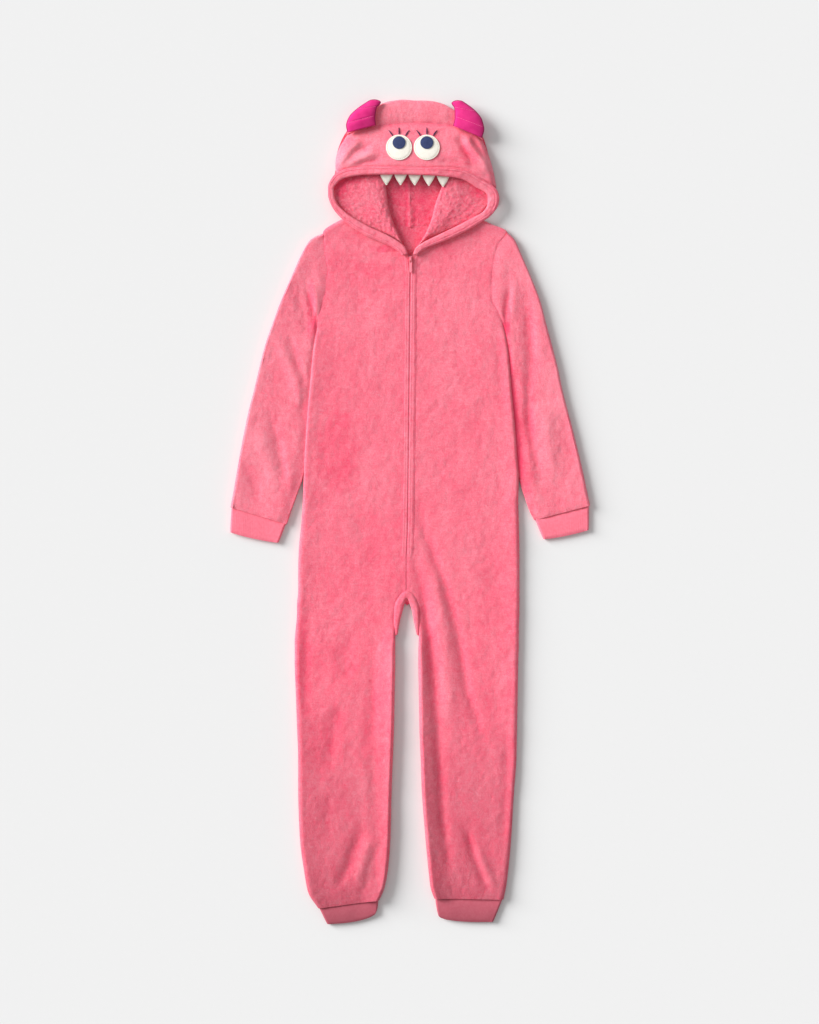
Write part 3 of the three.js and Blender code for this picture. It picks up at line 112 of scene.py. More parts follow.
table_material, table_tree, table_shader = new_material("table_paper", TABLE_COLOUR)
table_grain = add_node(table_tree, "ShaderNodeTexNoise", {"Scale": 900.0, "Detail": 4.0})
table_tone = add_node(table_tree, "ShaderNodeMix", {0: table_grain.outputs["Fac"]}, data_type="RGBA")
table_tone.inputs[6].default_value = (*TABLE_COLOUR, 1.0)
table_tone.inputs[7].default_value = (*TABLE_GRAIN, 1.0)
table_tree.links.new(table_tone.outputs[2], table_shader.inputs["Base Color"])
table_shader.inputs["Roughness"].default_value = 0.95

table_mesh = bpy.data.meshes.new("table")
table_corners = [
    (across * TABLE_HALF, up * TABLE_HALF, TABLE_LEVEL)
    for across, up in ((-1, -1), (1, -1), (1, 1), (-1, 1))
]
table_mesh.from_pydata(table_corners, [], [(0, 1, 2, 3)])
table_mesh.materials.append(table_material)
table = bpy.data.objects.new("table", table_mesh)
bpy.context.scene.collection.objects.link(table)

# Shared finish of the plush: a short brushed pile, in random patches lighter and deeper. Over it lie
# painted highlights on ridges, painted shade in creases, under the hood's hem and toward the feet, and
# deeper seams.
FLEECE_BASE = (0.935, 0.180, 0.258)
FLEECE_LIGHT = (0.965, 0.298, 0.372)
FLEECE_DEEP = (0.91, 0.072, 0.154)
LEG_SHADE_FROM = -0.28
LEG_SHADE_END = -0.70
NAP_CONTRAST = 0.6
FIBRE_SHARE = 0.45
# share of the way up from the cuffs, brightness that the painted shade leaves
LEG_SHADE_STEPS = ((0.0, 0.34), (0.10, 0.61), (0.18, 0.71), (0.34, 0.78), (0.62, 0.82), (1.0, 1.0))


def socket(group, name, kind, way, default=None):
    """A socket on the outside of a node group, with its default value."""
    made = group.interface.new_socket(name=name, in_out=way, socket_type=kind)
    if default is not None:
        made.default_value = default
    return made


def math_node(tree, operation, first, second):
    """The result of a sum of two values or outputs."""
    return add_node(tree, "ShaderNodeMath", {0: first, 1: second}, operation=operation).outputs[0]


def mix_colour(tree, factor, first, second, blend_type="MIX"):
    """A colour mix whose colours are outputs of other nodes or plain colours."""
    made = add_node(tree, "ShaderNodeMix", {0: factor}, data_type="RGBA", blend_type=blend_type)
    for place, colour in ((6, first), (7, second)):
        if isinstance(colour, bpy.types.NodeSocket):
            tree.links.new(colour, made.inputs[place])
        else:
            made.inputs[place].default_value = (*colour, 1.0)
    return made.outputs[2]


def build_painted_leg_shade_group():
    """Painted shade: darkens a colour down the legs toward the feet, where the light falls off."""
    group = bpy.data.node_groups.new("painted_leg_shade", "ShaderNodeTree")
    socket(group, "Color", "NodeSocketColor", "INPUT")
    socket(group, "Color", "NodeSocketColor", "OUTPUT")
    given = group.nodes.new("NodeGroupInput")
    result = group.nodes.new("NodeGroupOutput")
    place = group.nodes.new("ShaderNodeTexCoord")
    parts = add_node(group, "ShaderNodeSeparateXYZ", {0: place.outputs["Object"]})
    way_up = add_node(group, "ShaderNodeMapRange",
                      {"Value": parts.outputs[1], "From Min": LEG_SHADE_END, "From Max": LEG_SHADE_FROM})
    ramp = add_node(group, "ShaderNodeValToRGB", {"Fac": way_up.outputs[0]})
    ramp.color_ramp.interpolation = "B_SPLINE"
    for _ in range(len(LEG_SHADE_STEPS) - 2):
        ramp.color_ramp.elements.new(0.5)
    for element, (share, tone) in zip(ramp.color_ramp.elements, LEG_SHADE_STEPS):
        element.position = share
        element.color = (tone, tone, tone, 1.0)
    shaded_down_legs = mix_colour(group, 1.0, given.outputs["Color"], ramp.outputs["Color"], "MULTIPLY")
    group.links.new(shaded_down_legs, result.inputs["Color"])
    return group


def build_nap_group():
    """Colour, roughness and height of brushed pile, from broad patches down to single fibres."""
    group = bpy.data.node_groups.new("brushed_nap", "ShaderNodeTree")
    for name in ("Base", "Light", "Deep"):
        socket(group, name, "NodeSocketColor", "INPUT")
    for name, value in (("Patch Scale", 14.0), ("Grain Scale", 420.0), ("Patch Amount", 0.3),
                        ("Grain Amount", 0.5), ("Nap And Shade", 0.0)):
        socket(group, name, "NodeSocketFloat", "INPUT", value)
    socket(group, "Color", "NodeSocketColor", "OUTPUT")
    socket(group, "Roughness", "NodeSocketFloat", "OUTPUT")
    socket(group, "Height", "NodeSocketFloat", "OUTPUT")
    given = group.nodes.new("NodeGroupInput")
    result = group.nodes.new("NodeGroupOutput")
    place = group.nodes.new("ShaderNodeTexCoord")

    def layer(scale, stretch, detail, distortion, low, high, darkest, amount):
        """One size of unevenness: the plain noise, and its part of the tone."""
        seat = add_node(group, "ShaderNodeMapping", {"Vector": place.outputs["Object"], "Scale": stretch})
        noise = add_node(group, "ShaderNodeTexNoise",
                         {"Vector": seat.outputs[0], "Scale": scale, "Detail": detail, "Roughness": 0.66,
                          "Distortion": distortion})
        spread = add_node(group, "ShaderNodeMapRange",
                          {"Value": noise.outputs["Fac"], "From Min": low, "From Max": high,
                           "To Min": darkest, "To Max": 1.0})
        return noise.outputs["Fac"], math_node(group, "MULTIPLY", spread.outputs[0], amount)

    patches = layer(given.outputs["Patch Scale"], (1.5, 0.8, 1.0), 5.0, 0.5, 0.32, 0.68, -1.0,
                    given.outputs["Patch Amount"])[1]
    ripples = layer(105.0, (0.6, 1.4, 1.0), 3.0, 0.9, 0.34, 0.66, -1.0, 0.24)[1]
    knit_rows = layer(240.0, (0.28, 1.5, 1.0), 2.0, 0.6, 0.34, 0.66, -1.0, 0.17)[1]
    clumps, grain = layer(given.outputs["Grain Scale"], (1.0, 1.0, 1.0), 3.0, 0.9, 0.3, 0.7, -1.0,
                          given.outputs["Grain Amount"])
    flecks = layer(330.0, (1.7, 0.6, 1.0), 2.0, 1.6, 0.62, 0.74, 0.0, -0.75)[1]
    swirls = layer(46.0, (1.3, 0.8, 1.0), 3.0, 1.8, 0.36, 0.64, -1.0, 0.26)[1]
    tone = patches
    # the per-point tone adds nap patches together with painted light and painted shade
    for part in (ripples, swirls, knit_rows, grain, flecks, given.outputs["Nap And Shade"]):
        tone = math_node(group, "ADD", tone, part)
    tone = math_node(group, "MULTIPLY", tone, NAP_CONTRAST)
    lighter = mix_colour(group, tone, given.outputs["Base"], given.outputs["Light"])
    turned = math_node(group, "MULTIPLY", tone, -1.0)
    deeper = mix_colour(group, turned, lighter, given.outputs["Deep"])
    group.links.new(deeper, result.inputs["Color"])
    rough = add_node(group, "ShaderNodeMapRange", {"Value": clumps, "To Min": 0.82, "To Max": 1.0})
    group.links.new(rough.outputs[0], result.inputs["Roughness"])
    fibres = add_node(group, "ShaderNodeTexNoise",
                      {"Vector": place.outputs["Object"], "Scale": 1500.0, "Detail": 2.0,
                       "Roughness": 0.8})
    height = math_node(group, "MULTIPLY", fibres.outputs["Fac"], FIBRE_SHARE)
    group.links.new(math_node(group, "ADD", clumps, height), result.inputs["Height"])
    return group


painted_leg_shade_group = build_painted_leg_shade_group()
nap_group = build_nap_group()


def with_painted_leg_shade(tree, colour):
    """The colour darkened by the painted shade at its height on the legs."""
    tone = tree.nodes.new("ShaderNodeGroup")
    tone.node_tree = painted_leg_shade_group
    tree.links.new(colour, tone.inputs["Color"])
    return tone.outputs["Color"]


def plush(name, patch, grain, patch_scale, grain_scale, bump):
    """Plush fleece: the brushed nap over a rough shader with the faint bright rim of its pile."""
    material, tree, shader = new_material(name, FLEECE_BASE)
    nap = tree.nodes.new("ShaderNodeGroup")
    nap.node_tree = nap_group
    for label, colour in (("Base", FLEECE_BASE), ("Light", FLEECE_LIGHT), ("Deep", FLEECE_DEEP)):
        nap.inputs[label].default_value = (*colour, 1.0)
    nap.inputs["Patch Amount"].default_value = patch
    nap.inputs["Grain Amount"].default_value = grain
    nap.inputs["Patch Scale"].default_value = patch_scale
    nap.inputs["Grain Scale"].default_value = grain_scale
    # per-point tone: nap patches with painted light and painted shade
    nap_and_shade = add_node(tree, "ShaderNodeAttribute", attribute_name="nap_and_shade")
    tree.links.new(nap_and_shade.outputs["Fac"], nap.inputs["Nap And Shade"])
    tree.links.new(with_painted_leg_shade(tree, nap.outputs["Color"]), shader.inputs["Base Color"])
    tree.links.new(nap.outputs["Roughness"], shader.inputs["Roughness"])
    relief = add_node(tree, "ShaderNodeBump",
                      {"Height": nap.outputs["Height"], "Strength": bump, "Distance": 0.0018})
    tree.links.new(relief.outputs["Normal"], shader.inputs["Normal"])
    shader.inputs["Sheen Weight"].default_value = 0.30
    shader.inputs["Sheen Roughness"].default_value = 0.45
    shader.inputs["Sheen Tint"].default_value = (1.0, 0.62, 0.68, 1.0)
    shader.inputs["Specular IOR Level"].default_value = 0.10
    shader.inputs["Subsurface Weight"].default_value = 0.15
    shader.inputs["Subsurface Radius"].default_value = (1.0, 0.22, 0.20)
    shader.inputs["Subsurface Scale"].default_value = 0.003
    return material


fleece = plush("plush_fleece", patch=0.34, grain=0.74, patch_scale=17.0, grain_scale=430.0, bump=0.6)
fleece_inside = plush(
    "plush_fleece_inside", patch=0.35, grain=1.15, patch_scale=30.0, grain_scale=330.0, bump=1.0)

# The body: four panels of plush fleece, sewn at the shoulders, sides, inseams and centre back. The
# two backs lie flat on the table. The two fronts lie on them and round down to them at the sides
# and inseams.
FLEECE = 4.0
SEAM = 0.3
EDGE_ROLL = 8.0
INSEAM_ROLL = 7.0
PANEL_TOP = 9.4
EDGE_PUFF = 2.4
INSEAM_PUFF = 9.0
PUFF_REACH = 36.0
GRID_STEP = 3.0

# side x, side y, middle x, middle y, side rounded over, middle rounded over
BODY_LEFT = (
    (-104, 502.6, -3.4, 435, 0.6, 0), (-124, 493, -2.9, 425, 1, 0), (-148, 473, -2, 415, 0.4, 0),
    (-144, 439, -0.5, 401, 0, 0), (-141, 411, -0.6, 383, 0, 0), (-143, 379, -0.8, 358, 0, 0),
    (-150, 354, -1, 335, 0, 0), (-156, 332, -1.2, 315, 0, 0), (-158, 313, -1.4, 297, 0.3, 0),
    (-161, 291, -1.6, 275, 1, 0), (-165, 255, -1.9, 245, 1, 0), (-169, 211, -2.2, 204, 1, 0),
    (-173, 165, -2.6, 162, 1, 0), (-176, 122, -3, 121, 1, 0), (-178, 85, -3.4, 83, 1, 0),
    (-179, 51, -3.8, 49, 1, 0), (-182, 17, -4.2, 15, 1, 0), (-185, -24, -4.8, -24, 1, 0),
    (-189, -65, -5.2, -65, 1, 0), (-190, -102, -5.2, -102, 1, 0), (-190, -134, -5.2, -133, 1, 0),
    (-191, -146, -13, -137, 1, 0), (-192, -160, -22, -148, 1, 0), (-192, -173, -27, -166, 1, 0),
    (-194, -197, -27.5, -187, 1, 0), (-196, -221, -25, -210, 1, 0.5),
    (-196, -255, -25, -250, 1, 1), (-194, -309, -26, -309, 1, 1), (-192, -364, -27, -364, 1, 1),
    (-190, -418, -29, -418, 1, 1), (-190, -473, -31, -473, 1, 1), (-187, -554, -33, -551, 1, 1),
    (-180, -609, -37, -605, 1, 1), (-173, -646, -44, -641, 1, 1), (-156, -673, -52, -659, 1, 1),
)
BODY_RIGHT = (
    (114, 500.6, 5.2, 437, 0.6, 0), (136, 490, 4.7, 425, 1, 0), (165, 475, 3.8, 415, 0.4, 0),
    (150, 455, 2.2, 401, 0, 0), (144, 434, 2, 386, 0, 0), (139, 403, 1.8, 360, 0, 0),
    (139, 364, 1.6, 337, 0, 0), (150, 340, 1.4, 318, 0, 0), (158, 316, 1.1, 298, 0.3, 0),
    (163, 291, 0.9, 275, 1, 0), (167, 255, 0.6, 245, 1, 0), (170, 216, 0.2, 207, 1, 0),
    (173, 184, -0.1, 177, 1, 0), (177, 139, -0.6, 136, 1, 0), (180, 97, -1, 95, 1, 0),
    (183, 54, -1.6, 53, 1, 0), (184, 17, -2, 15, 1, 0), (185, -24, -2.4, -24, 1, 0),
    (186, -65, -4.8, -65, 1, 0), (186, -102, -4.8, -102, 1, 0), (186, -134, -4.8, -133, 1, 0),
    (186, -146, 4, -138, 1, 0), (186, -160, 11, -150, 1, 0), (186, -173, 15, -164, 1, 0),
    (185, -197, 16, -184, 1, 0), (185, -221, 15, -210, 1, 0.5), (184, -255, 14, -250, 1, 1),
    (183, -309, 15, -309, 1, 1), (182, -364, 16, -364, 1, 1), (181, -418, 18, -418, 1, 1),
    (177, -473, 20, -473, 1, 1), (172, -554, 26, -551, 1, 1), (167, -609, 31, -605, 1, 1),
    (163, -639, 35, -638, 1, 1), (159, -658, 41, -656, 1, 1),
)
# rows of the tables where the sleeve lies beside the body, the zip ends and the legs part
BESIDE_SLEEVE_ROWS = slice(9, 16)
BESIDE_SLEEVE_FADE = (8, 9.5, 15, 16.5)
ZIP_END_ROW = 18
CROTCH_ROW = 20
GUSSET_END_ROW = 25

# Creases of the body: the points of each line, its half width and its height (below zero where
# the cloth sinks). The long pair runs down the right leg from the end of the zip.
BODY_CREASES = (
    (((11, 60), (22, -24), (51, -100), (80, -199), (97, -304), (129, -403), (140, -440)), 9, -2.6),
    (((12, -95), (17, -105), (32, -207), (44, -354), (51, -450), (58, -573), (66, -620)), 9, -2.8),
    (((34, -60), (52, -168), (62, -248), (68, -325), (76, -400)), 13, 3.0),
    (((4, -40), (16, -110), (27, -180), (36, -260), (42, -330)), 9, -1.8),
    (((88, -520), (119, -610), (139, -654)), 8, -3.0),
    (((108, -560), (136, -622), (150, -648)), 8, 2.6),
    (((52, -500), (62, -560), (70, -620)), 8, -1.6),
    (((-76, -520), (-104, -598), (-128, -648)), 10, -2.8),
    (((-62, -540), (-83, -609), (-92, -652)), 10, 2.4),
    (((-122, -320), (-132, -390), (-140, -450)), 12, -1.7),
    (((-134, -470), (-142, -520), (-138, -570)), 12, -1.3),
    (((-78, -392), (-72, -500), (-62, -600)), 12, 1.4),
    (((-176, -180), (-178, -260), (-176, -360)), 9, -1.6),
    (((166, -350), (164, -480), (156, -590)), 10, -1.8),
    (((-52, -640), (-58, -600), (-60, -560)), 8, -1.8),
    (((-95, -190), (-108, -250), (-104, -300)), 12, -1.2),
    (((-66, -250), (-62, -330), (-70, -400)), 10, -1.2),
    (((-60, 220), (-20, 200), (20, 150)), 14, -0.7),
    (((-95, 60), (-70, -40), (-60, -120)), 18, -0.8),
    (((86, 260), (118, 190), (120, 120)), 16, -0.9),
    (((128, 300), (112, 220), (116, 150)), 18, 0.9),
    (((120, -30), (140, -90), (138, -160)), 16, -0.9),
    (((-118, 440), (-92, 380), (-88, 320)), 16, -0.9),
    (((150, 320), (153, 240), (160, 160)), 9, -1.3),
    (((10, 428), (5, 420), (1, 408)), 2.4, 1.6),
)
# Patches of tone: middle x, y, half sizes, and how far it turns light or deep. Some are patches of the
# nap; the deep ones along the neck are painted shade below the hood's hem.
BODY_NAP_AND_SHADE = (
    (-122, 110, 36, 66, -0.95), (-112, 62, 34, 26, -0.35), (-140, 190, 34, 26, -0.3),
    (-124, 426, 26, 22, -0.5), (-62, 412, 34, 15, -0.75), (-30, 372, 10, 26, -0.35),
    (-84, 340, 60, 40, 0.35), (-66, 330, 26, 34, 0.2), (70, 330, 52, 76, 0.4),
    (112, 260, 14, 50, -0.4), (66, 408, 36, 14, -0.3), (130, 380, 20, 40, -0.2),
    (30, 90, 26, 60, 0.2), (76, 140, 34, 50, -0.25), (-48, 300, 26, 60, 0.2),
    (-60, 60, 34, 60, 0.2), (-28, -40, 16, 70, -0.25), (-110, -40, 46, 40, 0.1),
    (96, -90, 44, 56, 0.3), (30, -330, 17, 70, 0.35), (62, -300, 14, 60, 0.45),
    (130, -320, 24, 70, -0.1), (-112, -250, 24, 46, -0.35), (-180, -260, 14, 90, -0.75),
    (-150, -400, 22, 50, -0.45), (-124, -380, 20, 46, -0.35), (-64, -370, 24, 70, -0.4),
    (-96, -480, 20, 40, 0.3), (-90, -600, 30, 26, 0.3), (36, -480, 14, 80, 0.2),
    (-100, 20, 60, 30, 0.15), (140, 40, 26, 90, 0.15), (-40, 447, 24, 7, -2.0),
    (60, 450, 36, 9, -0.7), (-96, 470, 26, 8, -0.6), (104, 472, 24, 8, -0.5),
)
# how much painted shade a trough and painted highlight a ridge get per millimetre
SHADE_BY_DEPTH = 0.18
NAP_AND_SHADE_SHARE = 0.6
UPPER_TONE = 0.22
SHARP_EDGE = math.radians(50)


def between_rows(table, places):
    """Reads a table between its rows along a smooth curve that never swings past a row."""
    rows = np.asarray(table, float)
    steps = np.diff(rows, axis=0)
    slopes = np.zeros_like(rows)
    same_way = steps[:-1] * steps[1:] > 0
    total = np.where(same_way, steps[:-1] + steps[1:], 1.0)
    slopes[1:-1] = np.where(same_way, 2 * steps[:-1] * steps[1:] / total, 0.0)
    slopes[0] = steps[0]
    slopes[-1] = steps[-1]
    low = np.clip(np.floor(places).astype(int), 0, len(rows) - 2)
    part = (places - low)[:, None]
    square = part * part
    cube = square * part
    return (
        (2 * cube - 3 * square + 1) * rows[low]
        + (cube - 2 * square + part) * slopes[low]
        + (3 * square - 2 * cube) * rows[low + 1]
        + (cube - square) * slopes[low + 1]
    )


def row_places(table, step):
    """Places between a table's rows, close enough together for a mesh of this step."""
    rows = np.asarray(table, float)
    places = []
    for index in range(len(rows) - 1):
        moved = rows[index + 1] - rows[index]
        reach = max(math.hypot(moved[0], moved[1]), math.hypot(moved[2], moved[3]))
        count = max(2, round(reach / step))
        places.extend(index + np.arange(count) / count)
    return np.array(places + [len(rows) - 1])


def soft_noise(x, y, size, seed):
    """Smooth noise from -1 to 1 over a plane, with bumps of about this size in millimetres."""
    lattice = np.random.default_rng(seed).uniform(-1, 1, (256, 256))
    u = x / size + 1000.0
    v = y / size + 1000.0
    left = np.floor(u).astype(int)
    low = np.floor(v).astype(int)
    part_u = u - left
    part_v = v - low
    part_u = part_u * part_u * (3 - 2 * part_u)
    part_v = part_v * part_v * (3 - 2 * part_v)

    def corner(du, dv):
        return lattice[(left + du) % 256, (low + dv) % 256]

    bottom = corner(0, 0) * (1 - part_u) + corner(1, 0) * part_u
    top = corner(0, 1) * (1 - part_u) + corner(1, 1) * part_u
    return bottom * (1 - part_v) + top * part_v


def crease_height(creases, x, y):
    """The height that soft creases add: each is a line with a rounded profile and faded ends."""
    height = np.zeros_like(x)
    for points, spread, rise in creases:
        route = np.asarray(points, float)
        legs = np.diff(route, axis=0)
        lengths = np.hypot(legs[:, 0], legs[:, 1])
        starts = np.concatenate([[0], np.cumsum(lengths)])
        nearest = np.full(x.shape, 1e9)
        share = np.zeros_like(x)
        for index, leg in enumerate(legs):
            part = ((x - route[index, 0]) * leg[0] + (y - route[index, 1]) * leg[1]) / lengths[index] ** 2
            part = np.clip(part, 0, 1)
            away = np.hypot(x - route[index, 0] - part * leg[0], y - route[index, 1] - part * leg[1])
            closer = away < nearest
            nearest = np.where(closer, away, nearest)
            share = np.where(closer, (starts[index] + part * lengths[index]) / starts[-1], share)
        ends = np.clip(np.minimum(share, 1 - share) / 0.28, 0, 1)
        ends = ends * ends * (3 - 2 * ends)
        height += rise * np.exp(-((nearest / spread) ** 2)) * ends
    return height


def pile_relief(x, y, seed):
    """The uneven surface of brushed pile: broad swells, tufts and fine clumps."""
    swell = 0.44 * soft_noise(x, y, 38.0, seed) + 0.32 * soft_noise(x, y, 17.0, seed + 1)
    tufts = 0.30 * soft_noise(x, y, 8.0, seed + 2) + 0.30 * soft_noise(x, y, 4.2, seed + 3)
    return swell + tufts


def placed_nap_and_shade(strokes, x, y, seed):
    """How far placed patches turn the tone light or deep, as nap or as painted light and shade, with
    ragged borders.
    """
    tone = np.zeros_like(x)
    for middle_x, middle_y, half_x, half_y, amount in strokes:
        ragged = 0.22 * soft_noise(x, y, 11.0, seed) + 0.16 * soft_noise(x, y, 4.5, seed + 1)
        away = np.hypot((x - middle_x) / half_x, (y - middle_y) / half_y) + ragged
        part = np.clip((1.15 - away) / 0.45, 0, 1)
        tone += amount * part * part * (3 - 2 * part)
    return NAP_AND_SHADE_SHARE * tone


def crease_shading(height):
    """Painted shade in a trough and a painted highlight along a ridge, from the crease's height."""
    return SHADE_BY_DEPTH * (np.minimum(height, 0) + 0.7 * np.maximum(height, 0))


def rounded(distance, reach, amount):
    """How a rolled edge rises and leans at a distance in from the edge."""
    angle = np.arccos(np.clip(1 - distance / reach, 0, 1))
    return 1 + (np.sin(angle) - 1) * amount, np.pi / 2 + (angle - np.pi / 2) * amount


def add_nap_and_shade(mesh, tone):
    """Keeps on each point its tone from nap patches, painted light and painted shade: light above zero
    and deep below.
    """
    held = mesh.attributes.new("nap_and_shade", "FLOAT", "POINT")
    values = np.zeros(len(mesh.vertices), np.float32)
    values[: tone.size] = tone.ravel()
    held.data.foreach_set("value", values)


def cloth_object(name, outer, inner, material, ring=False, tone=None, lining=None):
    """A closed wall of cloth from its outer and inner grids of points, in millimetres."""
    rows, columns = outer.shape[:2]
    count = rows * columns
    points = np.concatenate([outer.reshape(-1, 3), inner.reshape(-1, 3)]) * MM
    index = np.arange(count).reshape(rows, columns)
    if ring:
        index = np.concatenate([index, index[:, :1]], axis=1)
    a, b = index[:-1, :-1].ravel(), index[:-1, 1:].ravel()
    c, d = index[1:, 1:].ravel(), index[1:, :-1].ravel()
    faces = [np.stack([a, b, c, d], 1), np.stack([d, c, b, a], 1) + count]
    edges = [index[0, ::-1], index[-1]]
    if not ring:
        edges += [index[:, 0], index[::-1, -1]]
    for edge in edges:
        faces.append(np.stack([edge[:-1], edge[:-1] + count, edge[1:] + count, edge[1:]], 1)[:, ::-1])
    faces = np.concatenate(faces)
    corners = points[faces]
    normals = np.cross(corners[:, 2] - corners[:, 0], corners[:, 3] - corners[:, 1])
    if (normals * corners.mean(1)).sum() < 0:
        faces = faces[:, ::-1]
    mesh = bpy.data.meshes.new(name)
    mesh.from_pydata(points.tolist(), [], faces.tolist())
    mesh.polygons.foreach_set("use_smooth", [True] * len(faces))
    mesh.materials.append(material)
    if lining is not None:
        mesh.materials.append(lining)
        wall = len(a)
        which = [0] * wall + [1] * wall + [0] * (len(faces) - 2 * wall)
        mesh.polygons.foreach_set("material_index", which)
    mesh.update()
    mesh.set_sharp_from_angle(angle=SHARP_EDGE)
    if tone is not None:
        add_nap_and_shade(mesh, tone)
    made = bpy.data.objects.new(name, mesh)
    bpy.context.scene.collection.objects.link(made)
    return made


def panel_grid(table, places, near, across, far):
    """Points across a panel on each row: set distances from both edges, even steps between."""
    rows = between_rows(table, places)
    side, middle = rows[:, 0:2], rows[:, 2:4]
    width = np.hypot(*(middle - side).T)
    along = (middle - side) / width[:, None]
    flat = width - near[-1] - far[0]
    shares = np.linspace(0, 1, across + 2)[1:-1]
    distance = np.concatenate(
        [
            np.tile(near, (len(rows), 1)),
            near[-1] + flat[:, None] * shares,
            width[:, None] - np.asarray(far),
        ],
        axis=1,
    )
    x = side[:, :1] + along[:, :1] * distance
    y = side[:, 1:] + along[:, 1:] * distance
    return rows, along, width, distance, x, y


# distances from the middle of the zip's lip to the faint line and to the topstitching
ZIP_LINE_IN = 4.6
TOPSTITCH_IN = 9.8
FRONT_NEAR = (0, 0.3, 1.0, 2.1, 3.6, 5.4, EDGE_ROLL)
FRONT_FAR = (14, 12, 10.8, TOPSTITCH_IN, 9, 8, 6.6, 5.4, ZIP_LINE_IN, 3.8, 2.6, 1.4, 0.6, 0)
FRONT_ACROSS = 60
FRONT_MIDDLE_X = -5.0
SLEEVE_LAP = 1.8
SLEEVE_LAP_LIFT = 2.2
ZIP_LIP_IN = 1.2
ZIP_RIDGE = 0.75
ZIP_RIDGE_REACH = 6.4
SIDE_SEAM_DIP = 0.35
MIDDLE_SEAM_DIP = 0.5
COIL_TOP = 8.2
COIL_COVER_REACH = 4.2


def zip_fold(from_middle, y):
    """The turned edge beside the zip: a soft ridge with a faint line, and the sunk topstitching."""
    gathered = 1 + 0.35 * soft_noise(y, y * 0.3, 10.0, 17)
    from_line = from_middle - ZIP_LINE_IN
    ridge = ZIP_RIDGE * gathered * np.clip(1 - (from_line / ZIP_RIDGE_REACH) ** 2, 0, 1)
    line = -0.35 * np.exp(-((from_line / 0.9) ** 2))
    stitched = -0.25 * np.exp(-(((from_middle - TOPSTITCH_IN) / 1.4) ** 2))
    lip = -0.6 * np.exp(-((from_middle / 0.8) ** 2))
    return ridge + line + stitched + lip


def zip_tone(from_middle):
    """Deeper at the lip, at the faint line and along the topstitching, partly as painted shade in these
    grooves, and a painted highlight along the ridge.
    """
    lip = -0.8 * np.exp(-((from_middle / 0.9) ** 2))
    line = -0.30 * np.exp(-(((from_middle - ZIP_LINE_IN) / 0.9) ** 2))
    stitched = -0.55 * np.exp(-(((from_middle - TOPSTITCH_IN) / 1.1) ** 2))
    ridge = 0.30 * np.exp(-(((from_middle - ZIP_LINE_IN) / 4.2) ** 4))
    return lip + line + stitched + ridge


def worn_table(table, side):
    """The body's table as it looks worn in: lapped over the sleeve, and close at the centre front."""
    rows = np.array(table, float)
    rows[BESIDE_SLEEVE_ROWS, 0] += side * SLEEVE_LAP
    rows[:ZIP_END_ROW, 2] -= side * ZIP_LIP_IN
    rows[ZIP_END_ROW : CROTCH_ROW + 1, 2] = FRONT_MIDDLE_X
    return rows


def front_panel(name, table, side, seed):
    """One front, shoulder to ankle, and the points of its outside for what is sewn on it."""
    table = worn_table(table, side)
    places = row_places(table, GRID_STEP)
    rows, along, width, distance, x, y = panel_grid(table, places, FRONT_NEAR, FRONT_ACROSS, FRONT_FAR)
    from_middle = width[:, None] - distance
    side_round = np.clip(rows[:, 4:5], 0, 1)
    middle_round = np.clip(rows[:, 5:6], 0, 1)
    at = places[:, None]
    beside_sleeve = np.interp(at, BESIDE_SLEEVE_FADE, (0, 1, 1, 0))
    zip_part = np.clip((ZIP_END_ROW + 0.3 - at) / 0.3, 0, 1) * np.clip(0.4 + at / 2, 0.4, 1)
    puff = np.maximum(
        EDGE_PUFF * side_round * np.clip(1 - distance / PUFF_REACH, 0, 1) ** 1.5,
        INSEAM_PUFF * middle_round * np.clip(1 - from_middle / PUFF_REACH, 0, 1) ** 1.5,
    )
    sewn_side = (1 - side_round) * np.exp(-((distance / 2.6) ** 2))
    sewn_middle = (1 - zip_part) * (1 - middle_round) * np.exp(-((from_middle / 1.8) ** 2))
    creases = crease_height(BODY_CREASES, x, y)
    top = PANEL_TOP + puff + zip_fold(from_middle, y) * zip_part
    top = top - SIDE_SEAM_DIP * sewn_side - MIDDLE_SEAM_DIP * sewn_middle
    calm = 1 - 0.5 * np.clip((11 - from_middle) / 3, 0, 1) * zip_part
    top = top + (creases + pile_relief(x, y, seed)) * calm
    side_rise, side_lean = rounded(distance, EDGE_ROLL - 2.5 * beside_sleeve, side_round)
    middle_rise, middle_lean = rounded(from_middle, INSEAM_ROLL, middle_round)
    foot = FLEECE + SEAM
    lifted = foot + SLEEVE_LAP_LIFT * beside_sleeve
    z = lifted + (top - lifted) * side_rise * middle_rise
    shift = FLEECE * (np.cos(side_lean) - np.cos(middle_lean))
    under = np.maximum(z - FLEECE * np.sin(side_lean) * np.sin(middle_lean), foot)
    over_coils = np.clip(COIL_COVER_REACH - from_middle, 0, 1) * zip_part
    under = under + (np.maximum(under, COIL_TOP + SEAM) - under) * over_coils
    outer = np.stack([x, y, z], 2)
    inner = np.stack([x + along[:, :1] * shift, y + along[:, 1:] * shift, np.minimum(under, z)], 2)
    upper = UPPER_TONE * np.clip((y + 100) / 200, 0, 1) * np.clip(1 + x / 300, 0.6, 1.6)
    tone = upper + placed_nap_and_shade(BODY_NAP_AND_SHADE, x, y, seed + 40) + crease_shading(creases) * calm
    tone = tone + zip_tone(from_middle) * zip_part - 0.4 * sewn_middle - 0.35 * sewn_side
    made = cloth_object(name, outer, inner, fleece, tone=tone, lining=fleece_inside)
    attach(made, "garment")
    return made, outer


BACK_NEAR = (0, 0.5, 1.2, 2.2)
BACK_FAR = (9, 6, 4, 2.2, 1.2, 0.5, 0)
BACK_ACROSS = 22
BACK_STEP = 8.0
BACK_NECK_Y = 483.4


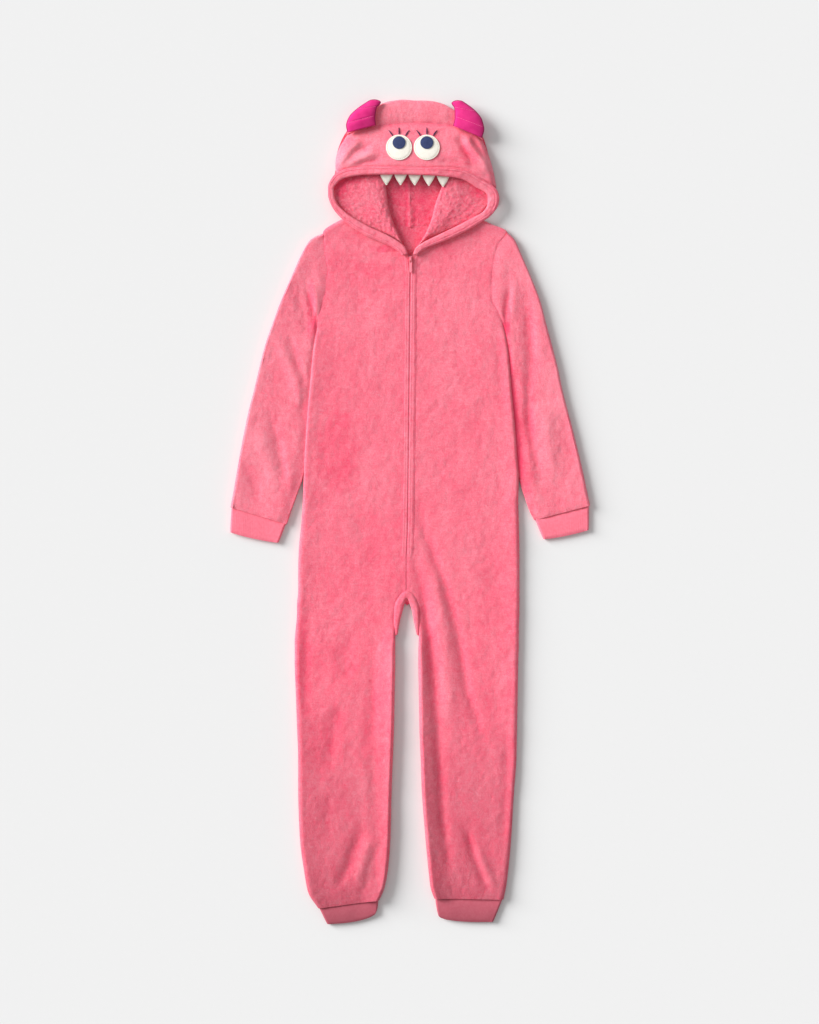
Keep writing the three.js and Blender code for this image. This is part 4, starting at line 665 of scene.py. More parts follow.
def back_panel(name, table, other):
    """One back, flat on the table, its middle edge halfway between the two fronts' edges."""
    rows = np.array(table, float)
    middle = (rows[:, 2] + np.asarray(other, float)[:, 2]) / 2
    rows[: CROTCH_ROW + 1, 2] = middle[: CROTCH_ROW + 1]
    rows[0, 3] = BACK_NECK_Y
    places = row_places(rows, BACK_STEP)
    rows, _, width, distance, x, y = panel_grid(rows, places, BACK_NEAR, BACK_ACROSS, BACK_FAR)
    from_middle = width[:, None] - distance
    edge = np.minimum(distance + 6 * (1 - rows[:, 4:5]), from_middle + 6 * (1 - rows[:, 5:6]))
    ease = 0.6 * np.clip(1 - edge / 2.2, 0, 1) ** 2
    seam = 0.9 * np.exp(-((from_middle / 1.2) ** 2)) * np.clip(CROTCH_ROW - places[:, None], 0, 1)
    # painted shade at the neck, seen inside the hood's opening
    neck_shade = -0.6 * np.clip(1.2 - places[:, None], 0, 1) + 0 * x
    upper = np.stack([x, y, np.full_like(x, FLEECE)], 2)
    lower = np.stack([x, y, ease + seam], 2)
    made = cloth_object(name, upper, lower, fleece_inside, tone=neck_shade, lining=fleece)
    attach(made, "garment")
    return made


front_left, front_left_top = front_panel("front_left_cloth", BODY_LEFT, -1, 11)
front_right, front_right_top = front_panel("front_right_cloth", BODY_RIGHT, 1, 11)
back_left = back_panel("back_left_cloth", BODY_LEFT, BODY_RIGHT)
back_right = back_panel("back_right_cloth", BODY_RIGHT, BODY_LEFT)
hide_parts("front_left")
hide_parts("front_right")
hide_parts("back_left")
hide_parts("back_right")

# The sleeves: set in at the armholes and pressed flat, each one tube of fleece. Near the underarm
# the spare cloth stands up in one short fold beside the seam.
SLEEVE_TOP = 11.2
SLEEVE_SINK = 1.6
ARMHOLE_ROWS = (2, 8)
ARMHOLE_FADE_ROWS = 3

# outer edge x, y, edge beside the body x, y
SLEEVE_LEFT = (
    (-149, 473, -159, 312), (-168, 464, -162, 304), (-184, 439, -163, 290),
    (-202, 398, -166, 266), (-219, 359, -169, 239), (-233, 321, -171.5, 207),
    (-246, 284, -174.5, 177), (-256, 245, -177, 139), (-265, 207, -179.5, 105),
    (-274, 172, -181, 78), (-282, 134, -184, 56), (-289, 97, -189, 38), (-295, 63, -196, 17),
    (-300, 34, -203, -3), (-305, 8, -209, -21),
)
SLEEVE_RIGHT = (
    (166, 475, 160, 314), (178, 463, 163, 304), (190, 436, 165, 289), (206, 398, 168, 264),
    (221, 359, 171, 236), (231, 321, 174, 204), (241, 284, 177, 173), (251, 245, 180, 139),
    (259, 207, 183, 105), (268, 172, 185, 76), (278, 134, 187, 56), (287, 97, 191, 37),
    (295, 63, 198, 15), (301, 34, 205, -3), (306, 11, 211, -14),
)
SLEEVE_CREASES = (
    (((-178, 392), (-173, 371), (-167, 350), (-161.5, 328), (-158, 312)), 6.0, -2.2),
    (((-168, 404), (-160, 372), (-156, 345), (-156, 322)), 6, 1.4),
    (((-192, 400), (-186, 360), (-176, 322), (-172, 290)), 9, -1.6),
    (((-228, 300), (-206, 252), (-187, 205), (-186, 170)), 10, 1.9),
    (((-206, 308), (-194, 262), (-184, 228)), 7, -1.5),
    (((-182, 250), (-182, 200), (-184, 150)), 6, -1.4),
    (((-262, 150), (-238, 84), (-226, 20)), 12, 2.0),
    (((-240, 176), (-222, 110), (-208, 50)), 9, -1.8),
    (((-216, 120), (-204, 70), (-202, 20)), 8, 1.6),
    (((-282, 90), (-262, 40), (-258, 0)), 9, -1.2),
    (((172, 396), (166.6, 355), (161.5, 328), (165, 286)), 6.0, -2.2),
    (((178, 404), (176, 366), (174, 320)), 7, 1.6),
    (((192, 390), (202, 330), (205, 262), (201, 200), (201, 150), (208, 80)), 10, -2.8),
    (((214, 360), (220, 300), (226, 250)), 12, 1.6),
    (((176, 262), (184, 190), (190, 120), (196, 60)), 7, -2.0),
    (((196, 200), (206, 130), (218, 70), (224, 30)), 8, -1.6),
    (((226, 200), (236, 120), (246, 40)), 12, 2.2),
    (((262, 180), (270, 120), (280, 60)), 12, -1.2),
)
# patches of tone as on the body: the deep ones are painted shade in the underarm creases, beside the body
# and along the right sleeve's fold
SLEEVE_NAP_AND_SHADE = (
    (-262, 150, 24, 60, 0.55), (-250, 260, 20, 60, 0.35), (-196, 420, 22, 40, 0.35),
    (-238, 60, 26, 50, 0.3), (-166, 340, 9, 50, -1.6), (-160, 318, 9, 14, -1.4),
    (-190, 240, 12, 60, -0.5), (-208, 30, 14, 60, -0.6), (-284, 30, 18, 30, 0.2),
    (-230, 200, 16, 60, -0.15), (163, 340, 8, 36, -1.3), (163, 310, 8, 12, -2.2),
    (166, 270, 8, 40, -0.6), (184, 200, 12, 90, -0.7), (200, 110, 16, 70, -0.75),
    (206, 30, 12, 50, -0.6), (208, 400, 18, 40, 0.2), (246, 200, 22, 80, 0.3),
    (268, 90, 22, 60, 0.2), (203, 300, 11, 60, -0.5), (203, 190, 11, 60, -0.4),
    (236, 20, 22, 30, -0.3),
)
SLEEVE_BASE_TONE = 0.6
BODY_SIDE_TOPS = {-1: 8.6, 1: 7.2}
BODY_SHADOW_ON_SLEEVE = {-1: -0.6, 1: -2.0}
UNDERARM_REACH = 2.6
UNDERARM_SQUEEZE = 0.4
SLEEVE_WALL = 3.4
SLEEVE_STEP = 3.6
SLEEVE_ACROSS = 46
ARMHOLE_LEVEL = 9.2
ARMHOLE_REACH = 13.0
ARMHOLE_CLOSER = 0.2
ARMHOLE_DIP = 0.25
CUFF_GATHER = 1.0
# rows of the sleeve's table between which it lies under the body's edge
UNDER_BODY_FADE = (0, 1, 9.5, 11.5)
TUCKED_FADE = (0, 1.5, 9.5, 11.5)


def tube_grid(width, top_at, thickness, edge_heights, ends=9, across=26, squeeze=1.0):
    """Rings of a flattened tube: distances across and heights, for its outside and its inside."""
    near, far = edge_heights[0] / 2, edge_heights[1] / 2
    turn = np.radians(np.linspace(12, 168, ends))
    shares = np.linspace(0, 1, across)[None, :] * np.ones((len(width), 1))
    flat = np.clip(shares * width[:, None], near, width[:, None] - far * squeeze)
    top = top_at(flat / width[:, None])
    level = np.ones((len(width), 1))

    def ring(inset):
        small_near, small_far = near - inset, far - inset
        left = (near - small_near * np.sin(turn)) * level
        right = width[:, None] - (far - small_far * np.sin(turn[::-1])) * squeeze
        left_z = (near - small_near * np.cos(turn)) * level
        right_z = (far - small_far * np.cos(turn[::-1])) * level
        floor = np.full_like(flat, inset)
        distance = np.concatenate([left, flat, right, flat[:, ::-1]], 1)
        height = np.concatenate([left_z, top - inset, right_z, floor], 1)
        return distance, height

    return ring(0.0), ring(thickness)


def sleeve(name, table, body, side, seed):
    """One sleeve: its armhole end follows the body's edge, and its inner edge lies under the body."""
    side_top = BODY_SIDE_TOPS[side]
    places = row_places(table, SLEEVE_STEP)
    rows = between_rows(table, places)
    width = np.hypot(rows[:, 2] - rows[:, 0], rows[:, 3] - rows[:, 1])
    armhole = between_rows(body, np.linspace(*ARMHOLE_ROWS, 31))[:, 0:2]
    first = rows[0]
    seam_share = np.maximum(0, (first[1] - armhole[:, 1]) / (first[1] - first[3]))
    straight = first[0] + (first[2] - first[0]) * seam_share
    bend = armhole[:, 0] - side * ARMHOLE_CLOSER - straight
    fade = np.clip(1 - places / ARMHOLE_FADE_ROWS, 0, 1)[:, None]
    tucked = np.interp(places, TUCKED_FADE, (0, 1, 1, 0))[:, None] * UNDERARM_REACH

    def spots(distance):
        share = distance / width[:, None]
        held = np.clip(share, 0, 1)
        bent = fade * np.interp(held, seam_share, bend) - side * tucked * held ** 6
        x = rows[:, :1] + (rows[:, 2:3] - rows[:, :1]) * share + bent
        y = rows[:, 1:2] + (rows[:, 3:4] - rows[:, 1:2]) * share
        return x, y

    def from_armhole(share):
        x, y = spots(share * width[:, None])
        start_x = np.interp(np.clip(share, 0, 1), seam_share, armhole[:, 0])
        start_y = first[1] + (first[3] - first[1]) * share
        return np.hypot(x - start_x, y - start_y)

    def creases(share):
        x, y = spots(share * width[:, None])
        return crease_height(SLEEVE_CREASES, x, y)

    def top_at(share):
        x, y = spots(share * width[:, None])
        from_seam = from_armhole(share)
        sink = SLEEVE_SINK * np.sin(np.pi * share) * np.clip(from_seam / 30, 0, 1)
        inside = np.clip(np.minimum(share, 1 - share) / 0.06, 0, 1)
        relief = creases(share) + pile_relief(x, y, seed)
        near_seam = np.exp(-((from_seam / ARMHOLE_REACH) ** 2)) * inside
        sewn = ARMHOLE_DIP * np.exp(-((from_seam / 3.0) ** 2))
        gathered = CUFF_GATHER * np.exp(-(((places[-1] - places[:, None]) / 0.16) ** 2))
        from_inner = (1 - share) * width[:, None]
        lowered = (SLEEVE_TOP - side_top) * np.exp(-((from_inner / 13) ** 2))
        level = SLEEVE_TOP - sink - lowered
        level = level + (ARMHOLE_LEVEL - level) * near_seam
        return level + (relief - sewn - gathered) * inside

    edge_heights = (SLEEVE_TOP, side_top)
    (out_across, out_height), (in_across, in_height) = tube_grid(
        width, top_at, SLEEVE_WALL, edge_heights, across=SLEEVE_ACROSS, squeeze=UNDERARM_SQUEEZE)
    x, y = spots(out_across)
    outer = np.stack([x, y, np.maximum(out_height, 0)], 2)
    inner = np.stack([*spots(in_across), in_height], 2)
    share = out_across / width[:, None]
    tone = SLEEVE_BASE_TONE + placed_nap_and_shade(SLEEVE_NAP_AND_SHADE, x, y, seed + 40)
    tone = tone + crease_shading(creases(share)) - 0.5 * np.exp(-((from_armhole(share) / 2.8) ** 2))
    # painted shadow: the body's edge darkens the sleeve beside it, most on the right, away from the light
    from_body = (1 - share) * width[:, None] - 4
    under_body = np.interp(places, UNDER_BODY_FADE, (0, 1, 1, 0))[:, None]
    tone = tone + BODY_SHADOW_ON_SLEEVE[side] * np.exp(-((from_body / 9) ** 2)) * under_body
    made = cloth_object(name, outer, inner, fleece, ring=True, tone=tone, lining=fleece_inside)
    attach(made, "garment")
    return made


sleeve_left = sleeve("sleeve_left_cloth", SLEEVE_LEFT, BODY_LEFT, -1, 11)
sleeve_right = sleeve("sleeve_right_cloth", SLEEVE_RIGHT, BODY_RIGHT, 1, 11)
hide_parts("sleeve_left")
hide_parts("sleeve_right")

# The rib cuffs: doubled rib knit, smoother and flatter than the fleece, sewn to the sleeve and leg
# hems. The fleece is a little fuller than the cuff and stands over it at the seam.
RIB = 2.8
CUFF_TOP = 7.4
CUFF_INSET = 2.0
RIB_BASE = (0.92, 0.165, 0.245)

rib_material, rib_tree, rib_shader = new_material("rib_knit", RIB_BASE)
rib_coordinates = rib_tree.nodes.new("ShaderNodeTexCoord")
rib_mottle = add_node(rib_tree, "ShaderNodeTexNoise",
                      {"Vector": rib_coordinates.outputs["Object"], "Scale": 240.0, "Detail": 5.0})
rib_colour = rib_tree.nodes.new("ShaderNodeValToRGB")
rib_colour.color_ramp.elements[0].position = 0.3
rib_colour.color_ramp.elements[0].color = (0.90, 0.172, 0.245, 1.0)
rib_colour.color_ramp.elements[1].position = 0.7
rib_colour.color_ramp.elements[1].color = (0.95, 0.212, 0.290, 1.0)
rib_tree.links.new(rib_mottle.outputs["Fac"], rib_colour.inputs["Fac"])
# the rib cuffs take the same painted shade toward the feet
rib_tree.links.new(with_painted_leg_shade(rib_tree, rib_colour.outputs["Color"]), rib_shader.inputs["Base Color"])
rib_waves = add_node(rib_tree, "ShaderNodeTexWave",
                     {"Vector": rib_coordinates.outputs["UV"], "Scale": 1.0, "Distortion": 0.25,
                      "Detail": 1.0, "Detail Scale": 3.0},
                     bands_direction="X")
rib_relief = add_node(rib_tree, "ShaderNodeBump",
                      {"Height": rib_waves.outputs["Fac"], "Strength": 0.5, "Distance": 0.0006})
rib_tree.links.new(rib_relief.outputs["Normal"], rib_shader.inputs["Normal"])
rib_shader.inputs["Roughness"].default_value = 0.85
rib_shader.inputs["Sheen Weight"].default_value = 0.15
rib_shader.inputs["Specular IOR Level"].default_value = 0.15

# hem of the sleeve or leg, end of the cuff, how far the end bows out, and its corners' rounding
CUFFS = {
    "cuff_sleeve_left": (SLEEVE_LEFT[-1], (-306, -35, -223, -53), 1.6, (1.0, 1.0)),
    "cuff_sleeve_right": (SLEEVE_RIGHT[-1], (304, -31, 226, -47), 1.6, (1.0, 1.0)),
    "cuff_leg_left": (BODY_LEFT[-1][:4], (-141, -700, -54, -684), 4.5, (0.0, 6.0)),
    "cuff_leg_right": (BODY_RIGHT[-1][:4], (142, -696, 46, -690), 3.0, (0.0, 5.0)),
}
CUFF_TUCK = 1.6
CUFF_END_INSET = 0.6
CUFF_STEPS = 20
CUFF_ACROSS = 100
RIB_PITCH = 3.2
RIB_RISE = 0.16
CORNER_SHARPNESS = 14


def rib_cuff(node, hem, end, bow, corners, seed):
    """A flat tube of rib from its hem to its end, with upright ribs and a rolled end."""
    places = np.linspace(0, 1, CUFF_STEPS)
    rows = np.outer(1 - places, hem) + np.outer(places, end)
    width = np.hypot(rows[:, 2] - rows[:, 0], rows[:, 3] - rows[:, 1])
    length = math.hypot(end[0] - hem[0], end[1] - hem[1])
    down = (rows[-1] - rows[0])[:2] / length
    tucked = rows - (rows[-1] - rows[0]) * (CUFF_TUCK / length) * (1 - places[:, None])
    inset = (CUFF_INSET * (1 - places) + CUFF_END_INSET * places ** 6)[:, None]

    def spots(distance):
        share = (inset + distance * (1 - 2 * inset / width[:, None])) / width[:, None]
        held = np.clip(share, 0, 1)
        drawn = corners[0] * (1 - held) ** CORNER_SHARPNESS + corners[1] * held ** CORNER_SHARPNESS
        bowed = (bow * np.sin(np.pi * held) - drawn) * places[:, None] ** 2
        x = tucked[:, :1] + (tucked[:, 2:3] - tucked[:, :1]) * share + down[0] * bowed
        y = tucked[:, 1:2] + (tucked[:, 3:4] - tucked[:, 1:2]) * share + down[1] * bowed
        return x, y

    def top_at(share):
        x, y = spots(share * width[:, None])
        inside = np.clip(np.minimum(share, 1 - share) / 0.1, 0, 1)
        ribs = RIB_RISE * np.cos(share * width[:, None] * 2 * np.pi / RIB_PITCH)
        swell = 0.55 * soft_noise(x, y, 22.0, seed)
        rolled = 1.5 * np.exp(-(((1 - places[:, None]) / 0.06) ** 2))
        sunk = 1.3 * np.exp(-((places[:, None] / 0.12) ** 2))
        return CUFF_TOP + (ribs + swell - rolled - sunk) * inside

    (out_across, out_height), (in_across, in_height) = tube_grid(
        width, top_at, RIB, (CUFF_TOP, CUFF_TOP), ends=8, across=CUFF_ACROSS)
    outer = np.stack([*spots(out_across), np.maximum(out_height, 0)], 2)
    inner = np.stack([*spots(in_across), in_height], 2)
    made = cloth_object(node + "_knit", outer, inner, rib_material, ring=True)
    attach(made, "garment")
    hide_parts(node)
    return made


for number, (node, (hem, end, bow, corners)) in enumerate(CUFFS.items()):
    rib_cuff(node, np.array(hem, float), np.array(end, float), bow, corners, 31 + number)

# The crotch piece: one strip of the same fleece, sewn in between the legs and folded round from the
# front seam to the back seam, so that its rolled edge shows as an arch.
GUSSET_LEDGE = 11.0
GUSSET_LEDGE_TOP = 6.5
GUSSET_STEP = 2.2

# the folded edge x, y, from the left leg over the arch to the right leg
GUSSET_FOLD = (
    (-21, -208), (-17, -186), (-12.5, -168), (-9.5, -157), (-7.5, -150.5), (-5, -148),
    (-2.5, -150.5), (0, -157), (3.5, -168), (6.5, -185), (11, -208),
)
# share of the width, height
GUSSET_PROFILE = (
    (0.0, 0.0), (0.5, 0.0), (0.8, 0.6), (0.95, 2.6), (1.0, 5.5), (0.95, 8.4), (0.8, 10.4),
    (0.55, 11.0), (0.3, 10.8), (0.12, 9.8), (0.0, 8.4), (0.0, 6.2), (0.2, 6.4), (0.45, 6.4),
    (0.55, 5.4), (0.45, 4.4), (0.2, 4.2), (0.0, 4.1),
)


def gusset_piece():
    """Rings of the folded strip; under its arch the lower layer stands out as a short ledge, darkened by
    painted shade.
    """
    seam_left = [row[2:4] for row in BODY_LEFT[CROTCH_ROW : GUSSET_END_ROW + 1]][::-1]
    seam_right = [row[2:4] for row in BODY_RIGHT[CROTCH_ROW + 1 : GUSSET_END_ROW + 1]]
    table = np.concatenate([np.array(seam_left + seam_right, float), np.array(GUSSET_FOLD, float)], 1)
    places = row_places(table, GUSSET_STEP)
    rows = between_rows(table, places)
    profile = np.array(GUSSET_PROFILE)
    steps = np.linspace(0, len(profile) - 1, 60)
    smooth = between_rows(profile, steps)
    reach = np.hypot(rows[:, 2] - rows[:, 0], rows[:, 3] - rows[:, 1])[:, None]
    share = smooth[:, 0] - SEAM / reach * (1 - smooth[:, 0])
    x = rows[:, :1] + (rows[:, 2:3] - rows[:, :1]) * share
    y = rows[:, 1:2] + (rows[:, 3:4] - rows[:, 1:2]) * share
    relief = pile_relief(x, y, 41) * (smooth[:, 1] > 9) * 0.8
    z = np.maximum(smooth[:, 1] + relief, 0)
    from_apex = np.abs(places - (len(table) - 1) / 2)[:, None]
    inside = np.exp(-((from_apex / 1.3) ** 2)) * np.clip(share * 1.6 - 0.6, 0, 1)
    inside = inside * np.clip((GUSSET_LEDGE_TOP - z) / 2.5, 0, 1)
    y = y - GUSSET_LEDGE * inside
    # painted shade on the ledge deep under the arch
    tone = -3.0 * inside
    return np.stack([x, y, z], 2), tone


def solid_object(name, rings, material, tone=None):
    """A closed solid through rings of points, with its end rings drawn in to a point."""
    rows, around = rings.shape[:2]
    points = np.concatenate([rings.reshape(-1, 3), [rings[0].mean(0)], [rings[-1].mean(0)]]) * MM
    index = np.arange(rows * around).reshape(rows, around)
    index = np.concatenate([index, index[:, :1]], axis=1)
    a, b = index[:-1, :-1].ravel(), index[:-1, 1:].ravel()
    c, d = index[1:, 1:].ravel(), index[1:, :-1].ravel()
    faces = np.stack([a, b, c, d], 1).tolist()
    first, last = rows * around, rows * around + 1
    faces += [(first, index[0, step + 1], index[0, step]) for step in range(around)]
    faces += [(last, index[-1, step], index[-1, step + 1]) for step in range(around)]
    volume = 0.0
    for face in faces:
        corners = points[list(face)]
        for step in range(1, len(face) - 1):
            volume += np.dot(corners[0], np.cross(corners[step], corners[step + 1]))
    if volume < 0:
        faces = [face[::-1] for face in faces]
    mesh = bpy.data.meshes.new(name)
    mesh.from_pydata(points.tolist(), [], [[int(v) for v in face] for face in faces])
    mesh.polygons.foreach_set("use_smooth", [True] * len(faces))
    mesh.materials.append(material)
    mesh.update()
    if tone is not None:
        add_nap_and_shade(mesh, tone)
    made = bpy.data.objects.new(name, mesh)
    bpy.context.scene.collection.objects.link(made)
    return made


gusset_rings, gusset_painted_shade = gusset_piece()
gusset = solid_object("crotch_gusset_cloth", gusset_rings, fleece, gusset_painted_shade)
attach(gusset, "garment")
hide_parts("crotch_gusset")

# The back of the hood: two halves of fleece with a centre seam, flat on the table and turned over
# at the crown, where they are sewn to the face band.
CROWN_TOP = 13.0
CROWN_RADIUS = 6.0
HOOD_MIDDLE = 5.0
CROWN_MIDDLE_X = 9.0
HORN_CLEAR = 66.0
CROWN_TONE = 0.85
CROWN_SWELL = 1.9
HOOD_INSIDE_SHADE = -0.9
HOOD_STEP = 2.4
HOOD_COLUMNS = 58
CENTRE_SEAM_RISE = 2.2
CENTRE_SEAM_AT = 1.4
CENTRE_SEAM_HALF = 2.2

# crown seam x, y, from its left end to its right end
CROWN_SEAM = (
    (-106, 641), (-84, 648.5), (-60, 654), (-37, 657), (-15, 659), (8, 659.5), (34, 659),
    (54, 657.5), (74, 654.5), (92, 648), (108, 641), (123, 631.5),
)
CROWN_MIDDLE = 5
# centre seam x, y, outline x, y, bulge toward the crown
HOOD_BACK_LEFT = (
    (0.7, 483.6, -104, 503.2, 0), (0.4, 505, -128, 520, 0), (0, 536, -138, 544, 0),
    (0.6, 578, -127, 578, 0), (2, 624, -124, 608, 6), (3.5, 665, -116, 632, 15),
    (5, 699, -107, 648, 18.5),
)
HOOD_BACK_RIGHT = (
    (1, 483.6, 114, 501.2, 0), (0.7, 505, 139, 518, 0), (0.3, 536, 148, 536, 0),
    (0.9, 578, 136, 578, 0), (2.3, 624, 133, 606, 6), (3.8, 665, 128, 626, 15),
    (5.3, 699, 122, 642, 19),
)


def hood_back(name, table, side, seed):
    """Half of the hood's back: flat from the neck up, turned over at the crown, in to its seam."""
    seam = np.array(CROWN_SEAM, float)
    seam = seam[: CROWN_MIDDLE + 1][::-1] if side < 0 else seam[CROWN_MIDDLE:]
    seam_line = between_rows(seam, np.linspace(0, len(seam) - 1, HOOD_COLUMNS))
    shares = (seam_line[:, 0] - seam[0, 0]) / (seam[-1, 0] - seam[0, 0])
    places = row_places(table, HOOD_STEP)
    rows = between_rows(table, places)
    bow = rows[:, 4:5] * np.sin(np.pi * shares)
    x = rows[:, :1] + (rows[:, 2:3] - rows[:, :1]) * shares
    y = rows[:, 1:2] + (rows[:, 3:4] - rows[:, 1:2]) * shares + bow
    x[:, 0] += side * -SEAM
    y[0] -= SEAM
    from_seam = np.abs(x - rows[:, :1])
    on_seam = np.exp(-(((from_seam - CENTRE_SEAM_AT) / CENTRE_SEAM_HALF) ** 2))
    seam_rise = CENTRE_SEAM_RISE * on_seam * (0.7 if side < 0 else 1.0)
    curls = 0.6 * soft_noise(x, y, 4.4, seed + 3)
    low_relief = pile_relief(x, y, seed) * 0.9 + curls + seam_rise
    # inside of the hood: deep painted shade under the brim, a painted highlight on the centre seam's
    # ridge, and curled pile
    low_tone = HOOD_INSIDE_SHADE + 0.5 * on_seam + 0.3 * soft_noise(x, y, 16.0, seed) + 0.6 * curls
    # painted shadow of the ridge, on its left
    if side < 0:
        low_tone = low_tone - 0.9 * np.exp(-(((from_seam - 6.0) / 3.4) ** 2))
    floor = np.zeros_like(x)
    outer = [np.stack([x[:-1], y[:-1], floor[:-1]], 2)]
    inner = [np.stack([x[:-1], y[:-1], FLEECE + low_relief[:-1]], 2)]
    turn = np.radians(np.linspace(-75, 75, 11))[:, None]
    for radius, grids in ((CROWN_RADIUS, outer), (CROWN_RADIUS - FLEECE, inner)):
        wave = 0.5 * soft_noise(x[-1], y[-1], 14.0, seed + 5) if radius == CROWN_RADIUS else 0.0
        turned_y = y[-1] - CROWN_RADIUS + np.cos(turn) * (radius + wave)
        turned_z = CROWN_RADIUS + np.sin(turn) * radius
        grids.append(np.stack([x[-1] + 0 * turn, turned_y, turned_z + 0 * x[-1]], 2))
    over = np.linspace(0, 1, 13)[1:, None]
    top_x = x[-1] + (seam_line[:, 0] - x[-1]) * over
    top_y = y[-1] - CROWN_RADIUS + (seam_line[:, 1] - y[-1] + CROWN_RADIUS) * over
    top_z = 2 * CROWN_RADIUS + (CROWN_TOP - 2 * CROWN_RADIUS) * over + 0 * top_x
    at_seam = np.exp(-(((1 - over) / 0.1) ** 2))
    at_middle = np.exp(-((shares / 0.03) ** 2)) * np.clip(over * 2, 0, 1)
    between_horns = np.clip((HORN_CLEAR - np.abs(top_x - CROWN_MIDDLE_X)) / 14, 0, 1)
    swell = CROWN_SWELL * np.sin(np.pi * over) * between_horns
    relief = pile_relief(top_x, top_y, 71) * (0.25 + 0.75 * between_horns)
    top_x[:, 0] -= side * SEAM / 2
    outer.append(np.stack([top_x, top_y, top_z + swell + relief - 0.6 * at_seam - 0.4 * at_middle], 2))
    inner.append(np.stack([top_x, top_y, top_z - FLEECE], 2))
    outside_tone = CROWN_TONE - 0.8 * at_seam - 0.35 * at_middle - 0.4 * (1 - between_horns)
    turned_tone = CROWN_TONE + 0 * turn + 0 * x[-1]
    outer_tone = [0 * x[:-1], turned_tone, outside_tone]
    # the inside of the turn at the crown is darker still, painted shade
    inner_tone = [low_tone[:-1], turned_tone - 1.2, outside_tone * 0]
    tone = np.stack([np.concatenate(outer_tone), np.concatenate(inner_tone)])
    outer, inner = np.concatenate(outer), np.concatenate(inner)
    made = cloth_object(name, outer, inner, fleece, tone=tone, lining=fleece_inside)
    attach(made, "garment")
    return made


hood_back_left = hood_back("hood_back_left_cloth", HOOD_BACK_LEFT, -1, 51)
hood_back_right = hood_back("hood_back_right_cloth", HOOD_BACK_RIGHT, 1, 61)
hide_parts("hood_back_left")
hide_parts("hood_back_right")

# The face band: the fleece over the face opening, sewn to the crown. It rises from the crown seam
# to the brim, rounds over at both sides, and has a few soft folds that run in from the temples.
HOOD_ROLL = 15.0
BRIM_TOP = 26.0
BRIM_FALL = 7.0

# brim x, y below each point of the crown seam, outward bulge of the line between
FACE_BRIM = (
    (-125, 579, 8), (-98, 585, 3), (-69, 586.5, 0), (-44, 587, 0), (-18, 586, 0), (8, 584.5, 0),
    (36, 584.5, 0), (62, 585, 0), (84, 583.5, 0), (105, 576.5, -2), (126, 565.5, -3),
    (146, 554, -3.5),
)
FACE_CREASES = (
    (((-126, 586), (-110, 600), (-98, 616), (-82, 637)), 7, 3.4),
    (((-113, 584), (-87, 597), (-70, 604), (-50, 610)), 6.5, 2.8),
    (((-108, 604), (-88, 613), (-64, 622)), 6, -2.6),
    (((-96, 586), (-72, 592), (-44, 598)), 5, -2.2),
    (((-122, 602), (-114, 622), (-106, 634)), 6, -1.6),
    (((88, 646), (102, 622), (121, 598), (137, 574)), 7, 4.2),
    (((80, 640), (94, 612), (110, 590)), 6, -2.8),
    (((102, 638), (116, 616), (131, 594)), 5, -2.4),
    (((56, 606), (80, 600), (104, 586)), 8, 1.4),
    (((48, 596), (70, 592), (92, 588)), 6, -1.4),
    (((-60, 648), (-20, 650), (30, 650), (64, 646)), 7, 0.9),
)
# patches of tone on the face band: painted light on its left part and painted shade beside its folds,
# with some patches of the nap
FACE_NAP_AND_SHADE = (
    (-96, 600, 32, 26, 0.7), (-60, 606, 36, 30, 0.5), (-70, 640, 26, 12, 0.4),
    (4, 592, 60, 9, 0.5), (70, 630, 20, 22, 0.6), (66, 600, 26, 16, 0.1),
    (112, 618, 12, 24, -0.4), (98, 604, 17, 22, -1.3), (-104, 626, 12, 12, -0.8),
    (-70, 592, 26, 7, -0.8), (134, 588, 8, 14, 0.5),
)
FACE_TONE = 0.5
FACE_COLUMNS = 52
# extra rows near both ends, where the band rounds over
FACE_END_ROWS = (0.02, 0.05, 0.09, 0.14, 0.2, 0.28, 0.36)
BRIM_UNDER = 3.6
BRIM_HALF_WIDTH = 125.0
EYE_LEFT_X = -18.5
EYE_RIGHT_X = 28.5
EYE_Y = 617.0
EYE_RADIUS = 22.0


